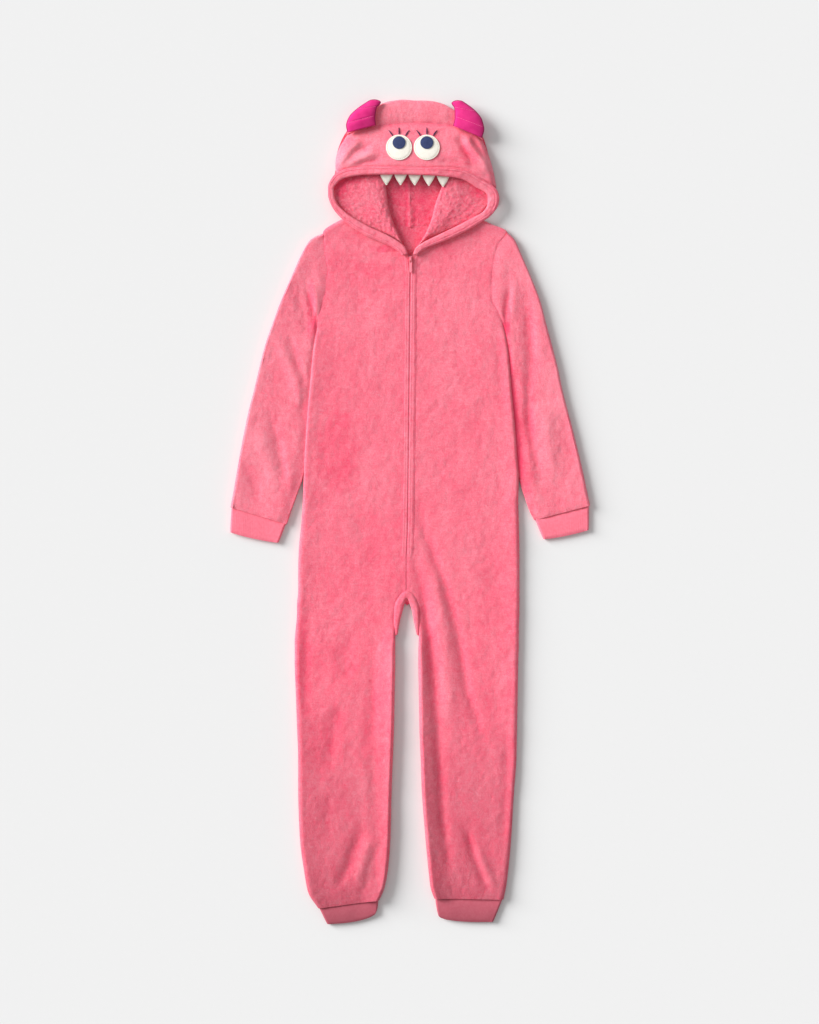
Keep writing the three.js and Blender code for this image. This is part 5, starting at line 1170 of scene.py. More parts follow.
def face_band():
    """The band's outside and inside points and its tone; its pile is pressed flat under the eyes."""
    table = np.concatenate([np.array(CROWN_SEAM, float), np.array(FACE_BRIM, float)], 1)
    places = row_places(table, HOOD_STEP)
    extra = np.array(FACE_END_ROWS)
    last = len(table) - 1
    places = np.unique(np.concatenate([places, extra, last - extra]))
    rows = between_rows(table, places)
    reach = np.hypot(rows[:, 2] - rows[:, 0], rows[:, 3] - rows[:, 1])
    rows[:, 2:4] += (rows[:, 2:4] - rows[:, 0:2]) * (BRIM_UNDER / reach)[:, None]
    shares = np.linspace(0, 1, FACE_COLUMNS)[None, :]
    x = rows[:, :1] + (rows[:, 2:3] - rows[:, :1]) * shares - rows[:, 4:5] * np.sin(np.pi * shares)
    y = rows[:, 1:2] + (rows[:, 3:4] - rows[:, 1:2]) * shares
    from_left = np.hypot(x - x[:1], y - y[:1])
    from_right = np.hypot(x - x[-1:], y - y[-1:])
    from_side = np.minimum(from_left, from_right)
    from_crown = shares * reach[:, None]
    from_brim = (1 - shares) * (reach[:, None] + BRIM_UNDER)
    fall = BRIM_FALL * (np.abs(x - HOOD_MIDDLE) / BRIM_HALF_WIDTH) ** 2 * shares
    swell = np.sin(np.pi * shares)
    creases = crease_height(FACE_CREASES, x, y) * np.clip(swell * 2.5, 0, 1)
    top = CROWN_TOP + (BRIM_TOP - CROWN_TOP) * np.sin(shares * np.pi / 2) - fall
    at_crown = np.exp(-((from_crown / 3.6) ** 2))
    under_hem = np.exp(-((from_brim / 3.4) ** 2))
    from_eye = np.minimum(*(np.hypot(x - eye_x, y - EYE_Y) for eye_x in (EYE_LEFT_X, EYE_RIGHT_X)))
    pressed = np.clip((EYE_RADIUS + 3 - from_eye) / 5, 0, 1)
    relief = creases + pile_relief(x, y, 71) * 0.9
    top = top + relief * (1 - pressed) - 0.6 * at_crown - 1.8 * under_hem
    rise, lean = rounded(from_side, HOOD_ROLL, 1.0)
    foot = FLEECE + SEAM
    z = foot + (top - foot) * rise
    toward = np.where(from_left < from_right, 1.0, -1.0)
    outer = np.stack([x, y, z], 2)
    under = np.maximum(z - FLEECE * np.sin(lean), foot)
    inner = np.stack([x + toward * FLEECE * np.cos(lean), y, under], 2)
    tone = FACE_TONE + placed_nap_and_shade(FACE_NAP_AND_SHADE, x, y, 75) + crease_shading(creases)
    # deeper at the crown seam, and painted shade where the band runs in under the hem
    return outer, inner, tone - 0.8 * at_crown - 0.5 * under_hem


face_outer, face_inner, face_tone = face_band()
hood_face = cloth_object("hood_face_cloth", face_outer, face_inner, fleece, tone=face_tone)
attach(hood_face, "garment")
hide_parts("hood_face")

# The eyes: two plain discs of cream felt sewn on close to their edge, on each a smaller navy disc in
# satin stitch, and above each three short embroidered lashes.
FELT = 1.6
PUPIL_RADIUS = 11.0
PUPIL_RISE = 8.0
PUPIL_LIFT = 1.0
PUPIL_THICKNESS = 1.0
EYE_PUFF = 0.9
EYE_STITCH_IN = 2.4
# pitch, length and radius of the sewing round an eye
EYE_STITCH = (3.1, 2.3, 0.26)
FELT_GAP = 0.3
LASH_TURNS = (62, 90, 118)
LASH_START = 0.8
LASH_LENGTH = 12.0
LASH_RADIUS = 1.0
LASH_LIFT = 0.9
LASH_POINTS = 14
CREAM_FELT = (0.90, 0.865, 0.79)
NAVY_SATIN = (0.040, 0.058, 0.165)
LASH_THREAD = (0.075, 0.022, 0.075)
CREAM_THREAD = (0.66, 0.60, 0.48)
PINK_THREAD = (0.90, 0.20, 0.30)


def matted(name, pale, deep, roughness, scale, stretch=(1.0, 1.0, 1.0), bump=0.5):
    """Felt or thread: matted fibres in two close tones, with a low relief of the same fibres."""
    material, tree, shader = new_material(name, pale)
    place = tree.nodes.new("ShaderNodeTexCoord")
    seat = add_node(tree, "ShaderNodeMapping", {"Vector": place.outputs["Object"], "Scale": stretch})
    fibres = add_node(tree, "ShaderNodeTexNoise",
                      {"Vector": seat.outputs[0], "Scale": scale, "Detail": 4.0, "Roughness": 0.7,
                       "Distortion": 1.2})
    broad = add_node(tree, "ShaderNodeTexNoise", {"Vector": place.outputs["Object"], "Scale": scale / 8})
    patches = math_node(tree, "MULTIPLY", broad.outputs["Fac"], 0.6)
    both = math_node(tree, "ADD", fibres.outputs["Fac"], patches)
    spread = add_node(tree, "ShaderNodeMapRange", {"Value": both, "From Min": 0.55, "From Max": 1.05})
    colour = mix_colour(tree, spread.outputs[0], deep, pale)
    tree.links.new(colour, shader.inputs["Base Color"])
    relief = add_node(tree, "ShaderNodeBump",
                      {"Height": fibres.outputs["Fac"], "Strength": bump, "Distance": 0.0005})
    tree.links.new(relief.outputs["Normal"], shader.inputs["Normal"])
    shader.inputs["Roughness"].default_value = roughness
    shader.inputs["Specular IOR Level"].default_value = 0.2
    shader.inputs["Sheen Weight"].default_value = 0.08
    return material


cream_felt = matted("cream_felt", CREAM_FELT, (0.80, 0.755, 0.66), 0.92, 900.0)
navy_satin = matted("navy_satin", NAVY_SATIN, (0.022, 0.030, 0.095), 0.55, 1500.0, (0.25, 2.0, 1.0), 0.8)
lash_thread = matted("lash_thread", LASH_THREAD, (0.04, 0.012, 0.05), 0.6, 1500.0)
cream_thread = matted("cream_thread", CREAM_THREAD, (0.52, 0.46, 0.35), 0.75, 1800.0)
pink_thread = matted("pink_thread", PINK_THREAD, (0.78, 0.12, 0.21), 0.75, 1800.0)


def surface_tree(grid):
    """A grid of points as a surface that can be searched for its height."""
    rows, columns = grid.shape[:2]
    index = np.arange(rows * columns).reshape(rows, columns)
    faces = np.stack([index[:-1, :-1], index[:-1, 1:], index[1:, 1:], index[1:, :-1]], -1)
    return BVHTree.FromPolygons(grid.reshape(-1, 3).tolist(), faces.reshape(-1, 4).tolist())


def height_at(tree, x, y):
    """The height of a surface at a spot, found straight down from above."""
    return tree.ray_cast(Vector((x, y, 200.0)), Vector((0.0, 0.0, -1.0)))[0].z


def gentle_fit(tree, middle, radius):
    """The smooth dish that fits a surface round a point, as its height at x, y."""
    turns = np.linspace(0, 2 * np.pi, 19)[:-1]
    shares = np.array([0.3, 0.65, 1.0])[:, None] * radius
    x = (middle[0] + shares * np.cos(turns)).ravel()
    y = (middle[1] + shares * np.sin(turns)).ravel()
    heights = np.array([height_at(tree, *spot) for spot in zip(x, y)])

    def terms(x, y):
        u, v = x - middle[0], y - middle[1]
        return np.stack([np.ones_like(u), u, v, u * u, u * v, v * v], -1)

    weights = np.linalg.lstsq(terms(x, y), heights, rcond=None)[0]
    return lambda x, y: terms(x, y) @ weights


def felt_piece(name, outline, surface, lift, thickness, puff, material, stitch_in=0.0):
    """A cut piece of felt on a surface, softly rounded at its edge, with a sunk line of sewing."""
    middle = outline.mean(0)
    reach = np.hypot(*(outline - middle).T).max()
    shares = np.concatenate([(0.02, 0.5, 0.985, 1.0, 1.0, 0.985), np.linspace(0.965, 0.02, 26)])
    levels = np.concatenate([(0.0, 0.0, 0.0, 0.25, 0.72, 0.95), np.ones(26)]) * thickness
    on_top = np.arange(len(shares)) > 5
    groove = np.exp(-(((shares - 1) * reach + stitch_in) / 0.75) ** 2) if stitch_in else 0 * shares
    domed = puff * (1 - shares ** 2)
    levels = levels + (domed - 0.5 * groove) * on_top
    spots = middle + (outline - middle) * shares[:, None, None]
    x, y = spots[..., 0], spots[..., 1]
    uneven = 0.12 * soft_noise(x, y, 3.4, 5) * on_top[:, None]
    z = surface(x, y) + lift + levels[:, None] + uneven
    made = solid_object(name, np.stack([x, y, z], 2), material)
    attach(made, "garment")
    return made


def disc(x, y, radius, points=96):
    """The points of a round outline."""
    turns = np.linspace(0, 2 * np.pi, points + 1)[:-1]
    return np.stack([x + radius * np.cos(turns), y + radius * np.sin(turns)], 1)


def stitches_along(line, pitch, length):
    """Starts and ends of even stitches along a line of points."""
    steps = np.linalg.norm(np.diff(line, axis=0), axis=1)
    reach = np.concatenate([[0], np.cumsum(steps)])
    first = np.arange(0.4 * pitch, reach[-1] - length, pitch)

    def at(place):
        return np.stack([np.interp(place, reach, line[:, axis]) for axis in range(3)], 1)

    return at(first), at(first + length)


THREAD_SIDES = 5
# share of the way along, share of the radius, rise in radii
THREAD_RINGS = ((0.0, 0.5, -0.6), (0.3, 1.0, 0.5), (0.7, 1.0, 0.5), (1.0, 0.5, -0.6))


def short_threads(name, starts, ends, radius, material, lift=0.2):
    """Many short closed threads in one mesh, each arched a little from its start to its end."""
    along = (ends - starts) / np.linalg.norm(ends - starts, axis=1, keepdims=True)
    side = np.cross(along, (0.0, 0.0, 1.0))
    side /= np.linalg.norm(side, axis=1, keepdims=True)
    up = np.cross(side, along)
    rings = []
    for share, size, arch in THREAD_RINGS:
        middle = starts + (ends - starts) * share + up * (lift + arch * radius)
        for turn in range(THREAD_SIDES):
            angle = 2 * math.pi * turn / THREAD_SIDES
            rings.append(middle + (side * math.cos(angle) + up * math.sin(angle)) * radius * size)
    points = np.stack(rings, 1).reshape(-1, 3) * MM
    faces = []
    for first in range(0, len(points), len(rings)):
        for ring in range(len(THREAD_RINGS) - 1):
            for turn in range(THREAD_SIDES):
                a = first + ring * THREAD_SIDES + turn
                b = first + ring * THREAD_SIDES + (turn + 1) % THREAD_SIDES
                faces.append((a, a + THREAD_SIDES, b + THREAD_SIDES, b))
        last = first + len(rings) - 1
        faces.append(tuple(range(first, first + THREAD_SIDES)))
        faces.append(tuple(range(last, last - THREAD_SIDES, -1)))
    mesh = bpy.data.meshes.new(name)
    mesh.from_pydata(points.tolist(), [], faces)
    mesh.polygons.foreach_set("use_smooth", [True] * len(faces))
    mesh.materials.append(material)
    mesh.update()
    made = bpy.data.objects.new(name, mesh)
    bpy.context.scene.collection.objects.link(made)
    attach(made, "garment")
    return made


def sewing(name, lines, pitch, length, radius, material, slot_name, lift=0.2):
    """Rows of even stitches along lines of points."""
    pairs = [stitches_along(np.asarray(line, float), pitch, length) for line in lines]
    starts = np.concatenate([pair[0] for pair in pairs])
    ends = np.concatenate([pair[1] for pair in pairs])
    return short_threads(name, starts, ends, radius, material, lift)


def cord(name, path, radii, material):
    """A round cord along a line of points."""
    path = np.asarray(path, float)
    along = np.gradient(path, axis=0)
    along /= np.linalg.norm(along, axis=1, keepdims=True)
    side = np.cross(along, (0.0, 0.0, 1.0))
    side /= np.linalg.norm(side, axis=1, keepdims=True)
    up = np.cross(side, along)
    turns = np.linspace(0, 2 * np.pi, 9)[:-1]
    circle = side[:, None] * np.cos(turns)[None, :, None] + up[:, None] * np.sin(turns)[None, :, None]
    rings = path[:, None] + circle * (np.asarray(radii) * np.ones(len(path)))[:, None, None]
    made = solid_object(name, rings, material)
    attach(made, "garment")
    return made


face_tree = surface_tree(face_outer)

for name, x in (("left", EYE_LEFT_X), ("right", EYE_RIGHT_X)):
    dish = gentle_fit(face_tree, (x, EYE_Y), EYE_RADIUS)
    eye = felt_piece(f"eye_{name}_felt", disc(x, EYE_Y, EYE_RADIUS), dish, FELT_GAP, FELT, EYE_PUFF,
                     cream_felt, EYE_STITCH_IN)
    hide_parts(f"eye_{name}")
    sewn = disc(x, EYE_Y, EYE_RADIUS - EYE_STITCH_IN)
    sewn_z = dish(sewn[:, 0], sewn[:, 1]) + FELT_GAP + FELT - 0.2
    line = np.concatenate([np.column_stack([sewn, sewn_z]), [[*sewn[0], sewn_z[0]]]])
    sewing(f"eye_{name}_stitches", [line], *EYE_STITCH, cream_thread, "eye_felt")
    pupil = felt_piece(f"pupil_{name}_satin", disc(x, EYE_Y + PUPIL_RISE, PUPIL_RADIUS, 64), dish,
                       FELT_GAP + FELT + PUPIL_LIFT, PUPIL_THICKNESS, 0.5, navy_satin)
    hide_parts(f"pupil_{name}")
    for number, turn in enumerate(LASH_TURNS):
        along = np.linspace(0, 1, LASH_POINTS)
        reach = EYE_RADIUS + LASH_START + LASH_LENGTH * along
        bend = math.radians(turn) + (90 - turn) / 28 * -0.05 * along ** 2
        lash_x = x + reach * np.cos(bend)
        lash_y = EYE_Y + reach * np.sin(bend)
        heights = [height_at(face_tree, *spot) for spot in zip(lash_x, lash_y)]
        settled = np.polyval(np.polyfit(reach, heights, 2), reach)
        radii = LASH_RADIUS * np.interp(along, (0, 0.1, 0.5, 0.9, 1), (0.6, 1, 1, 0.6, 0.25))
        path = np.column_stack([lash_x, lash_y, settled + LASH_LIFT])
        cord(f"lash_{name}_{number + 1}", path, radii, lash_thread)

# The side cloth of the hood, folded in over its back at each side of the neck. The pile of its
# inner face shows, with a rounded free fold toward the middle.
# fold x, y, edge under the hem x, y, height of the fold
HOOD_FOLD_LEFT = (
    (-47, 596, -102, 583, 12), (-43, 571, -124, 566, 14), (-41, 554, -132, 549, 15),
    (-39, 537, -131, 532, 15), (-37, 520, -124, 516, 15), (-32, 502, -104, 501, 15),
    (-22, 476, -58, 480, 14), (-16.5, 462, -30, 467, 12), (-11.5, 453, -17, 459, 9.5),
)
HOOD_FOLD_RIGHT = (
    (59, 596, 112, 576, 12), (56, 571, 127, 556, 14), (54, 554, 134, 541, 15),
    (48, 537, 135, 527, 15), (42, 520, 127, 513, 15), (38, 502, 111, 501, 15),
    (29, 478, 66, 480, 14), (18.5, 459, 33, 464, 12), (12, 449, 18, 455, 9.5),
)
# share of the way from the fold to the hem, share of the height
FOLD_PROFILE = (
    (0.05, 0.0), (0.01, 0.25), (0.0, 0.5), (0.02, 0.74), (0.07, 0.92), (0.16, 1.0), (0.32, 0.97),
    (0.5, 0.82), (0.7, 0.7), (0.87, 0.62), (0.98, 0.55), (1.0, 0.25), (0.98, 0.0), (0.7, 0.0),
    (0.4, 0.0), (0.2, 0.0),
)
FOLD_STEP = 2.2
FOLD_AROUND = 129
# painted shadow of the hem in the corners under the brim, and a few lighter and deeper patches of the
# pile, as on the body
FOLD_NAP_AND_SHADE = (
    (-118, 552, 13, 20, -2.6), (-98, 566, 26, 9, -1.3), (-70, 568, 26, 8, -0.7),
    (118, 548, 18, 15, -1.4), (96, 560, 22, 9, -0.8), (-60, 540, 18, 26, 0.3),
    (-88, 526, 20, 12, 0.25), (70, 530, 22, 22, 0.2), (-30, 480, 10, 14, -0.4),
    (26, 470, 10, 14, -0.3),
)


def hood_fold(name, table, seed):
    """The folded side cloth, two layers as one rounded solid with the curled pile outside."""
    places = row_places(table, FOLD_STEP)
    rows = between_rows(table, places)
    profile = np.array(FOLD_PROFILE + FOLD_PROFILE[:1])
    smooth = between_rows(profile, np.linspace(0, len(profile) - 1, FOLD_AROUND)[:-1])
    share, rise = smooth[:, 0], smooth[:, 1]
    x = rows[:, :1] + (rows[:, 2:3] - rows[:, :1]) * share
    y = rows[:, 1:2] + (rows[:, 3:4] - rows[:, 1:2]) * share
    base = FLEECE + SEAM
    curls = 0.55 * soft_noise(x, y, 3.4, seed + 4)
    relief = (pile_relief(x, y, seed) * 1.2 + curls) * np.clip(rise * 3 - 0.6, 0, 1)
    z = base + (rows[:, 4:5] - base) * rise + relief
    tone = placed_nap_and_shade(FOLD_NAP_AND_SHADE, x, y, seed + 40) + 0.5 * curls
    made = solid_object(name, np.stack([x, y, z], 2), fleece_inside, tone)
    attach(made, "garment")
    return made


hood_fold_left = hood_fold("hood_fold_left_cloth", HOOD_FOLD_LEFT, 81)
hood_fold_right = hood_fold("hood_fold_right_cloth", HOOD_FOLD_RIGHT, 82)
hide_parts("hood_fold_left")
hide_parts("hood_fold_right")

# The hem of the face opening: the edge of the hood turned in and sewn down with two rows of twin
# stitching, from the zip round the face and back to the zip.
HEM_THICKNESS = 6.5
# outer edge x, y, inner edge x, y, height of the top
HOOD_HEM = (
    (-14, 435, -3.4, 437.5, 17), (-18, 440, -7.5, 448, 17.5), (-30, 448.5, -18.5, 458, 17.5),
    (-50, 458, -39, 470, 17.5), (-78, 470, -69, 484, 17.5), (-105, 488, -93, 497, 18),
    (-122, 503.5, -110, 509, 18), (-133, 519, -122, 521.5, 18), (-139, 537, -128, 536, 18),
    (-139, 551, -129, 548, 18), (-134, 564, -123, 557.5, 18.5), (-124, 575, -114, 564, 20),
    (-103, 582.5, -94, 569, 22.5), (-73, 585, -68, 571, 25.5), (-44, 585.5, -44, 571, 27),
    (-17, 584, -17, 571, 27.5), (8, 583, 8, 570.5, 27.5), (36, 583, 36, 569.5, 27.5),
    (62, 583.5, 62, 567.5, 26.5), (86, 581.5, 82, 565, 24.5), (105, 574.5, 97, 559.5, 22),
    (124, 563.5, 112, 550, 19.5), (141, 553, 125, 543, 18), (149, 543, 131, 537, 18),
    (151.5, 531, 132, 529, 18), (150, 521, 131, 520.5, 18), (138, 503.5, 124, 509.5, 18),
    (114, 487, 103, 497.5, 18), (81, 469, 75, 483, 17.5), (50, 456, 46, 469, 17.5),
    (29, 448, 23, 457.5, 17.5), (16, 440, 9.5, 447.5, 17.5), (12.5, 435, 5.2, 437.5, 17),
)
# share across, share of the thickness
HEM_PROFILE = (
    (0.0, 0.5), (0.03, 0.74), (0.1, 0.9), (0.2, 0.98), (0.35, 1.0), (0.5, 1.0), (0.65, 1.0),
    (0.8, 0.97), (0.91, 0.86), (0.98, 0.68), (1.0, 0.5), (0.97, 0.3), (0.88, 0.1), (0.7, 0.02),
    (0.5, 0.0), (0.3, 0.02), (0.12, 0.1), (0.03, 0.28),
)
HEM_STEP = 2.4
HEM_AROUND = 73
# the rows of sewing: share of the hem's width, and the nearest column of its skin
STITCH_ROWS = (0.13, 0.36)
STITCH_COLUMNS = (9, 16)
# pitch, length and radius of the plain sewing of hem and zip
SEAM_STITCH = (3.6, 2.7, 0.34)
HEM_TONE = 0.5


def hem_band():
    """Rings of the rolled hem, with its two sunk rows, and its tone."""
    places = row_places(HOOD_HEM, HEM_STEP)
    rows = between_rows(HOOD_HEM, places)
    profile = np.array(HEM_PROFILE + HEM_PROFILE[:1])
    smooth = between_rows(profile, np.linspace(0, len(profile) - 1, HEM_AROUND)[:-1])
    share, rise = smooth[:, 0], smooth[:, 1]
    x = rows[:, :1] + (rows[:, 2:3] - rows[:, :1]) * share
    y = rows[:, 1:2] + (rows[:, 3:4] - rows[:, 1:2]) * share
    upper = np.clip(rise * 4 - 2.6, 0, 1)
    grooves = sum(np.exp(-(((share - row) / 0.045) ** 2)) for row in STITCH_ROWS)
    curls = 0.4 * soft_noise(x, y, 3.2, 95)
    relief = (pile_relief(x, y, 91) * 0.7 + curls) * upper - 0.6 * grooves * upper
    z = rows[:, 4:5] - HEM_THICKNESS * (1 - rise) + relief
    # the underside of the hem is deep, painted shade; the rows of sewing are sunk and deeper
    tone = HEM_TONE - 0.55 * grooves * upper - 0.9 * (1 - upper) + 0.4 * curls
    return np.stack([x, y, z], 2), tone


hem_skin, hem_tone = hem_band()
hood_hem = solid_object("hood_hem_cloth", hem_skin, fleece, hem_tone)
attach(hood_hem, "garment")
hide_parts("hood_hem")
hem_sewing = [hem_skin[2:-2, column] for column in STITCH_COLUMNS]
sewing("hem_stitches", hem_sewing, *SEAM_STITCH, pink_thread, "fleece")

# The teeth: five plain triangles of doubled cream felt, sewn round their edge and caught by their
# roots under the hem of the hood, so that they hang into the face opening.
TOOTH_THICKNESS = 2.2
TOOTH_TUCK = 3.0
TOOTH_DROP = 2.5
TOOTH_TIP_HALF = 1.7
TOOTH_TIP_LENGTH = 1.6
TOOTH_SIDE_BOW = 0.7
TOOTH_FELT = 1.5
TOOTH_PUFF = 0.65
TOOTH_STITCH_IN = 2.0
TOOTH_STITCH_LIFT = 1.75
TOOTH_STITCH_SHARE = 0.79
# pitch, length and radius of the sewing round a tooth
TOOTH_STITCH = (2.9, 2.1, 0.22)
TOOTH_SIDE_POINTS = 22
TOOTH_TIP_POINTS = 9
TOOTH_ROOT_POINTS = 14


def tooth_outline(middle, root, tip, half):
    """The root straight across, two sides bowed out a little, and a small rounded tip."""
    along = np.linspace(0, 1, TOOTH_SIDE_POINTS)
    level = root - TOOTH_TUCK + (tip + TOOTH_TIP_LENGTH - root + TOOTH_TUCK) * along
    reach = half + (TOOTH_TIP_HALF - half) * along + TOOTH_SIDE_BOW * np.sin(np.pi * along)
    right = np.stack([middle + reach, level], 1)
    turns = np.radians(np.linspace(-15, -165, TOOTH_TIP_POINTS))
    point_y = tip + TOOTH_TIP_LENGTH * (1 + np.sin(turns))
    point = np.stack([middle + TOOTH_TIP_HALF * np.cos(turns), point_y], 1)
    left = np.stack([middle - reach, level], 1)[::-1]
    across = np.linspace(-1, 1, TOOTH_ROOT_POINTS)
    top = np.stack([middle + half * across, np.full(TOOTH_ROOT_POINTS, root)], 1)
    return np.concatenate([top, right, point, left])


for number in range(1, 6):
    low, high = (np.array(corner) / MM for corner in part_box(f"tooth_{number}"))
    middle = (low[0] + high[0]) / 2
    half = (high[0] - low[0]) / 2
    slope = TOOTH_DROP / (high[1] - low[1])
    root = high[1]
    floor = high[2] - TOOTH_THICKNESS

    def hang(x, y):
        """The tooth slopes down from its root, which lies under the hem."""
        return floor + slope * (y - root) + 0 * x

    outline = tooth_outline(middle, root, low[1], half)
    tooth = felt_piece(f"tooth_{number}_felt", outline, hang, 0.0, TOOTH_FELT, TOOTH_PUFF, cream_felt,
                       TOOTH_STITCH_IN)
    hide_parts(f"tooth_{number}")
    centre = outline.mean(0)
    sewn = centre + (outline[TOOTH_ROOT_POINTS:-1] - centre) * TOOTH_STITCH_SHARE
    sewn_z = hang(sewn[:, 0], sewn[:, 1]) + TOOTH_STITCH_LIFT
    sewing(f"tooth_{number}_stitches", [np.column_stack([sewn, sewn_z])], *TOOTH_STITCH,
           cream_thread, "eye_felt", lift=0.1)

# The horns: smooth cloth, lightly stuffed and sewn on at the crown seam, with a corded edge and two
# rows of quilting across.
HORN_THICKNESS = 13.0
HORN_FLOOR = CROWN_TOP + 0.7
HORN_STEP = 1.6
HORN_AROUND = 40
# outer edge x, y, inner edge x, y, share of the full thickness
HORN_LEFT = (
    (-105, 643, -59, 655, 0.8), (-107, 655, -60, 668, 1), (-102, 669, -59, 678, 0.95),
    (-90, 681.5, -57, 686, 0.8), (-76, 691.5, -52.5, 690.5, 0.62),
    (-66, 697.4, -50.5, 694.5, 0.5), (-60, 699, -52.5, 697.6, 0.36),
)
HORN_RIGHT = (
    (121, 634, 74, 654, 0.8), (124.5, 648, 77, 667, 1), (121, 664, 77, 677, 0.95),
    (111.5, 677.5, 76, 685, 0.8), (97, 689.5, 73, 689.5, 0.62), (87, 695.8, 71.5, 693, 0.5),
    (80.5, 697.8, 73.5, 696, 0.36),
)
# rows of the table at which the quilting crosses
HORN_QUILTING = (1.25, 3.05)
QUILTING_DEPTH = 1.5
# pitch, length and radius of the quilting thread
QUILTING_STITCH = (3.0, 2.7, 0.3)
HORN_COLOUR = (0.69, 0.022, 0.195)

horn_material, horn_tree, horn_shader = new_material("horn_cloth", HORN_COLOUR)
horn_place = horn_tree.nodes.new("ShaderNodeTexCoord")
horn_mottle = add_node(horn_tree, "ShaderNodeTexNoise",
                       {"Vector": horn_place.outputs["Object"], "Scale": 90.0, "Detail": 5.0})
horn_ramp = horn_tree.nodes.new("ShaderNodeValToRGB")
horn_ramp.color_ramp.elements[0].position = 0.3
horn_ramp.color_ramp.elements[0].color = (0.62, 0.016, 0.17, 1.0)
horn_ramp.color_ramp.elements[1].position = 0.72
horn_ramp.color_ramp.elements[1].color = (0.75, 0.032, 0.22, 1.0)
horn_tree.links.new(horn_mottle.outputs["Fac"], horn_ramp.inputs["Fac"])
horn_tree.links.new(horn_ramp.outputs["Color"], horn_shader.inputs["Base Color"])
horn_knit = add_node(horn_tree, "ShaderNodeTexNoise",
                     {"Vector": horn_place.outputs["Object"], "Scale": 900.0, "Detail": 2.0})
horn_relief = add_node(horn_tree, "ShaderNodeBump",
                       {"Height": horn_knit.outputs["Fac"], "Strength": 0.25, "Distance": 0.0006})
horn_tree.links.new(horn_relief.outputs["Normal"], horn_shader.inputs["Normal"])
horn_shader.inputs["Roughness"].default_value = 0.8
horn_shader.inputs["Sheen Weight"].default_value = 0.1
horn_shader.inputs["Specular IOR Level"].default_value = 0.15


def horn_rings(table):
    """Rings of a stuffed horn, drawn in along its quilting and rounded off at its tip."""
    places = row_places(table, HORN_STEP)
    rows = between_rows(table, places)
    angle = np.linspace(0, 2 * np.pi, HORN_AROUND + 1)[:-1]
    share = 0.5 - np.cos(angle) / 2
    half = HORN_THICKNESS * rows[:, 4:5] / 2
    tip = np.sqrt(np.clip((len(table) - 1 - places) / 0.9, 0.02, 1))[:, None]
    half = half * tip
    drawn_in = sum(np.exp(-(((places - row) / 0.06) ** 2)) for row in HORN_QUILTING)[:, None]
    bulge = np.abs(np.sin(angle)) ** 0.8 * np.sign(np.sin(angle))
    bow = QUILTING_DEPTH * np.sin(np.pi * share) * drawn_in
    middle_x = (rows[:, :1] + rows[:, 2:3]) / 2
    middle_y = (rows[:, 1:2] + rows[:, 3:4]) / 2
    spread = (share - 0.5) * (0.1 + 0.9 * tip)
    x = middle_x + (rows[:, 2:3] - rows[:, :1]) * spread
    y = middle_y + (rows[:, 3:4] - rows[:, 1:2]) * spread
    z = HORN_FLOOR + half + half * bulge - bow * (bulge > 0)
    return np.stack([x, y, z], 2)


HORN_CORD = 1.3
horn_cord_cloth = matted("horn_cord_cloth", (0.42, 0.008, 0.115), (0.30, 0.005, 0.085), 0.75, 1500.0)
horn_thread = matted("horn_thread", (0.95, 0.22, 0.46), (0.86, 0.12, 0.36), 0.7, 1800.0)

for name, table in (("left", HORN_LEFT), ("right", HORN_RIGHT)):
    rings = horn_rings(table)
    horn = solid_object(f"horn_{name}_padded", rings, horn_material)
    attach(horn, "garment")
    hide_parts(f"horn_{name}")
    far = HORN_AROUND // 2
    edge = np.concatenate([rings[:-1, 0], rings[-2:-1, 1:far].mean(1), rings[:-1, far][::-1]])
    cord(f"horn_{name}_cord", edge, HORN_CORD, horn_cord_cloth)
    places = row_places(table, HORN_STEP)
    quilting = [rings[np.argmin(np.abs(places - row))][2 : far - 1] for row in HORN_QUILTING]
    sewing(f"horn_{name}_quilting", quilting, *QUILTING_STITCH, horn_thread, "horn_cloth", lift=0.25)

# The zip: a coil zip on two woven tapes sewn under the fronts, with one row of topstitching down each
# front. Its lacquered slider and hinged pull keep the shape that they have in the frame.
COIL_PITCH = 1.9
COIL_RADIUS = 0.52
COIL_END_Y = -52.0
COIL_START_Y = 421.0
# how far a loop of the coil reaches past the middle, and back under its front
COIL_PAST = 0.5
COIL_BACK = 2.3
TOPSTITCH_START_Y = 424.0
TOPSTITCH_END_Y = -66.0
TOPSTITCH_COLUMN = len(FRONT_NEAR) + FRONT_ACROSS + FRONT_FAR.index(TOPSTITCH_IN)

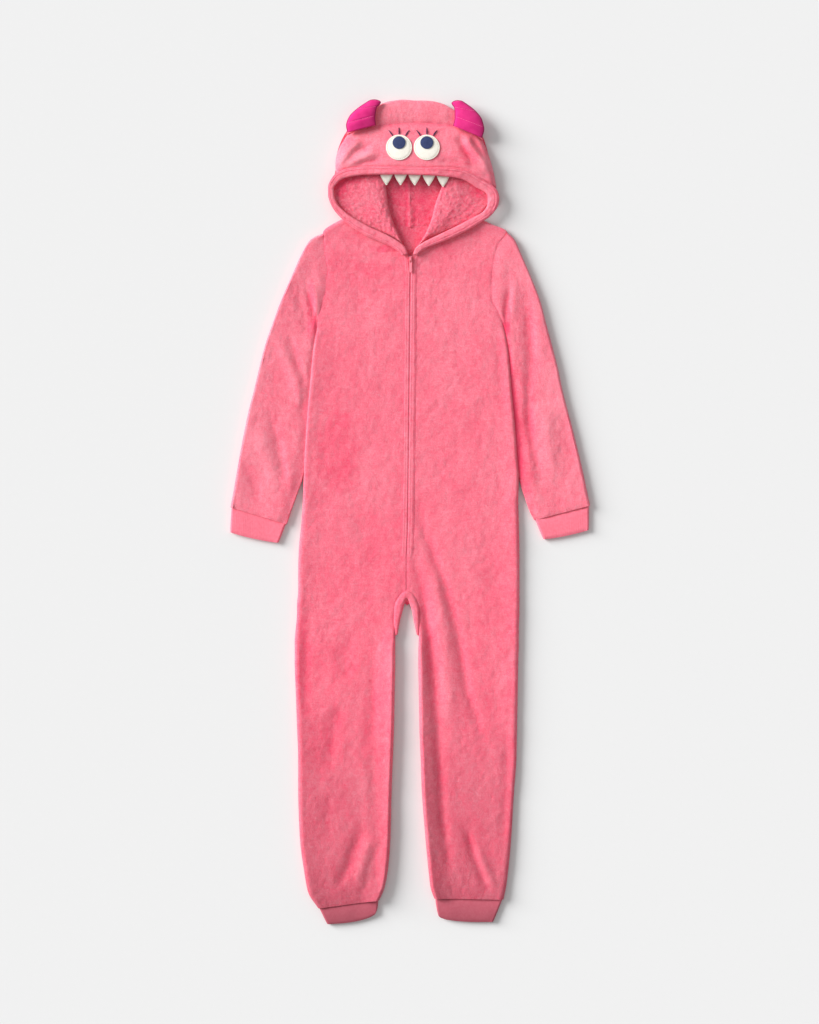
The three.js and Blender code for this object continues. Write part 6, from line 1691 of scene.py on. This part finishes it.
tape_material = matted(
    "zip_tape_weave", (0.86, 0.13, 0.21), (0.70, 0.07, 0.14), 0.85, 700.0, (1.0, 2.2, 1.0))
coil_material = matted("zip_coil_nylon", (0.95, 0.14, 0.22), (0.80, 0.09, 0.16), 0.45, 900.0)
metal_material, metal_tree, metal_shader = new_material("pink_lacquer", (0.93, 0.24, 0.32))
metal_place = metal_tree.nodes.new("ShaderNodeTexCoord")
metal_wear = add_node(metal_tree, "ShaderNodeTexNoise",
                      {"Vector": metal_place.outputs["Object"], "Scale": 300.0, "Detail": 5.0})
metal_colour = mix_colour(metal_tree, metal_wear.outputs["Fac"], (0.90, 0.17, 0.25), (0.95, 0.30, 0.38))
metal_tree.links.new(metal_colour, metal_shader.inputs["Base Color"])
metal_gloss = add_node(metal_tree, "ShaderNodeMapRange",
                       {"Value": metal_wear.outputs["Fac"], "To Min": 0.28, "To Max": 0.5})
metal_tree.links.new(metal_gloss.outputs[0], metal_shader.inputs["Roughness"])
metal_shader.inputs["Coat Weight"].default_value = 0.4
metal_shader.inputs["Coat Roughness"].default_value = 0.2

for node, material in (("zip_tape_left", tape_material), ("zip_tape_right", tape_material),
                       ("zip_slider", metal_material), ("zip_pull", metal_material)):
    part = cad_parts[node]
    part.data.materials.clear()
    part.data.materials.append(material)

coil_y = np.arange(COIL_START_Y, COIL_END_Y, -COIL_PITCH)
lips = (front_left_top[::-1, -1], front_right_top[::-1, -1])
coil_x = sum(np.interp(coil_y, lip[:, 1], lip[:, 0]) for lip in lips) / 2
for name, side, shift in (("left", -1, 0.0), ("right", 1, COIL_PITCH / 2)):
    level = np.full_like(coil_x, COIL_TOP - COIL_RADIUS)
    near = np.column_stack([coil_x - side * COIL_PAST, coil_y - shift, level])
    far = np.column_stack([coil_x + side * COIL_BACK, coil_y - shift, level])
    short_threads(f"zip_coil_{name}", far, near, COIL_RADIUS, coil_material, lift=0.0)

topstitching = []
for grid in (front_left_top, front_right_top):
    line = grid[:, TOPSTITCH_COLUMN]
    topstitching.append(line[(line[:, 1] > TOPSTITCH_END_Y) & (line[:, 1] < TOPSTITCH_START_Y)])
sewing("zip_topstitching", topstitching, *SEAM_STITCH, pink_thread, "fleece")
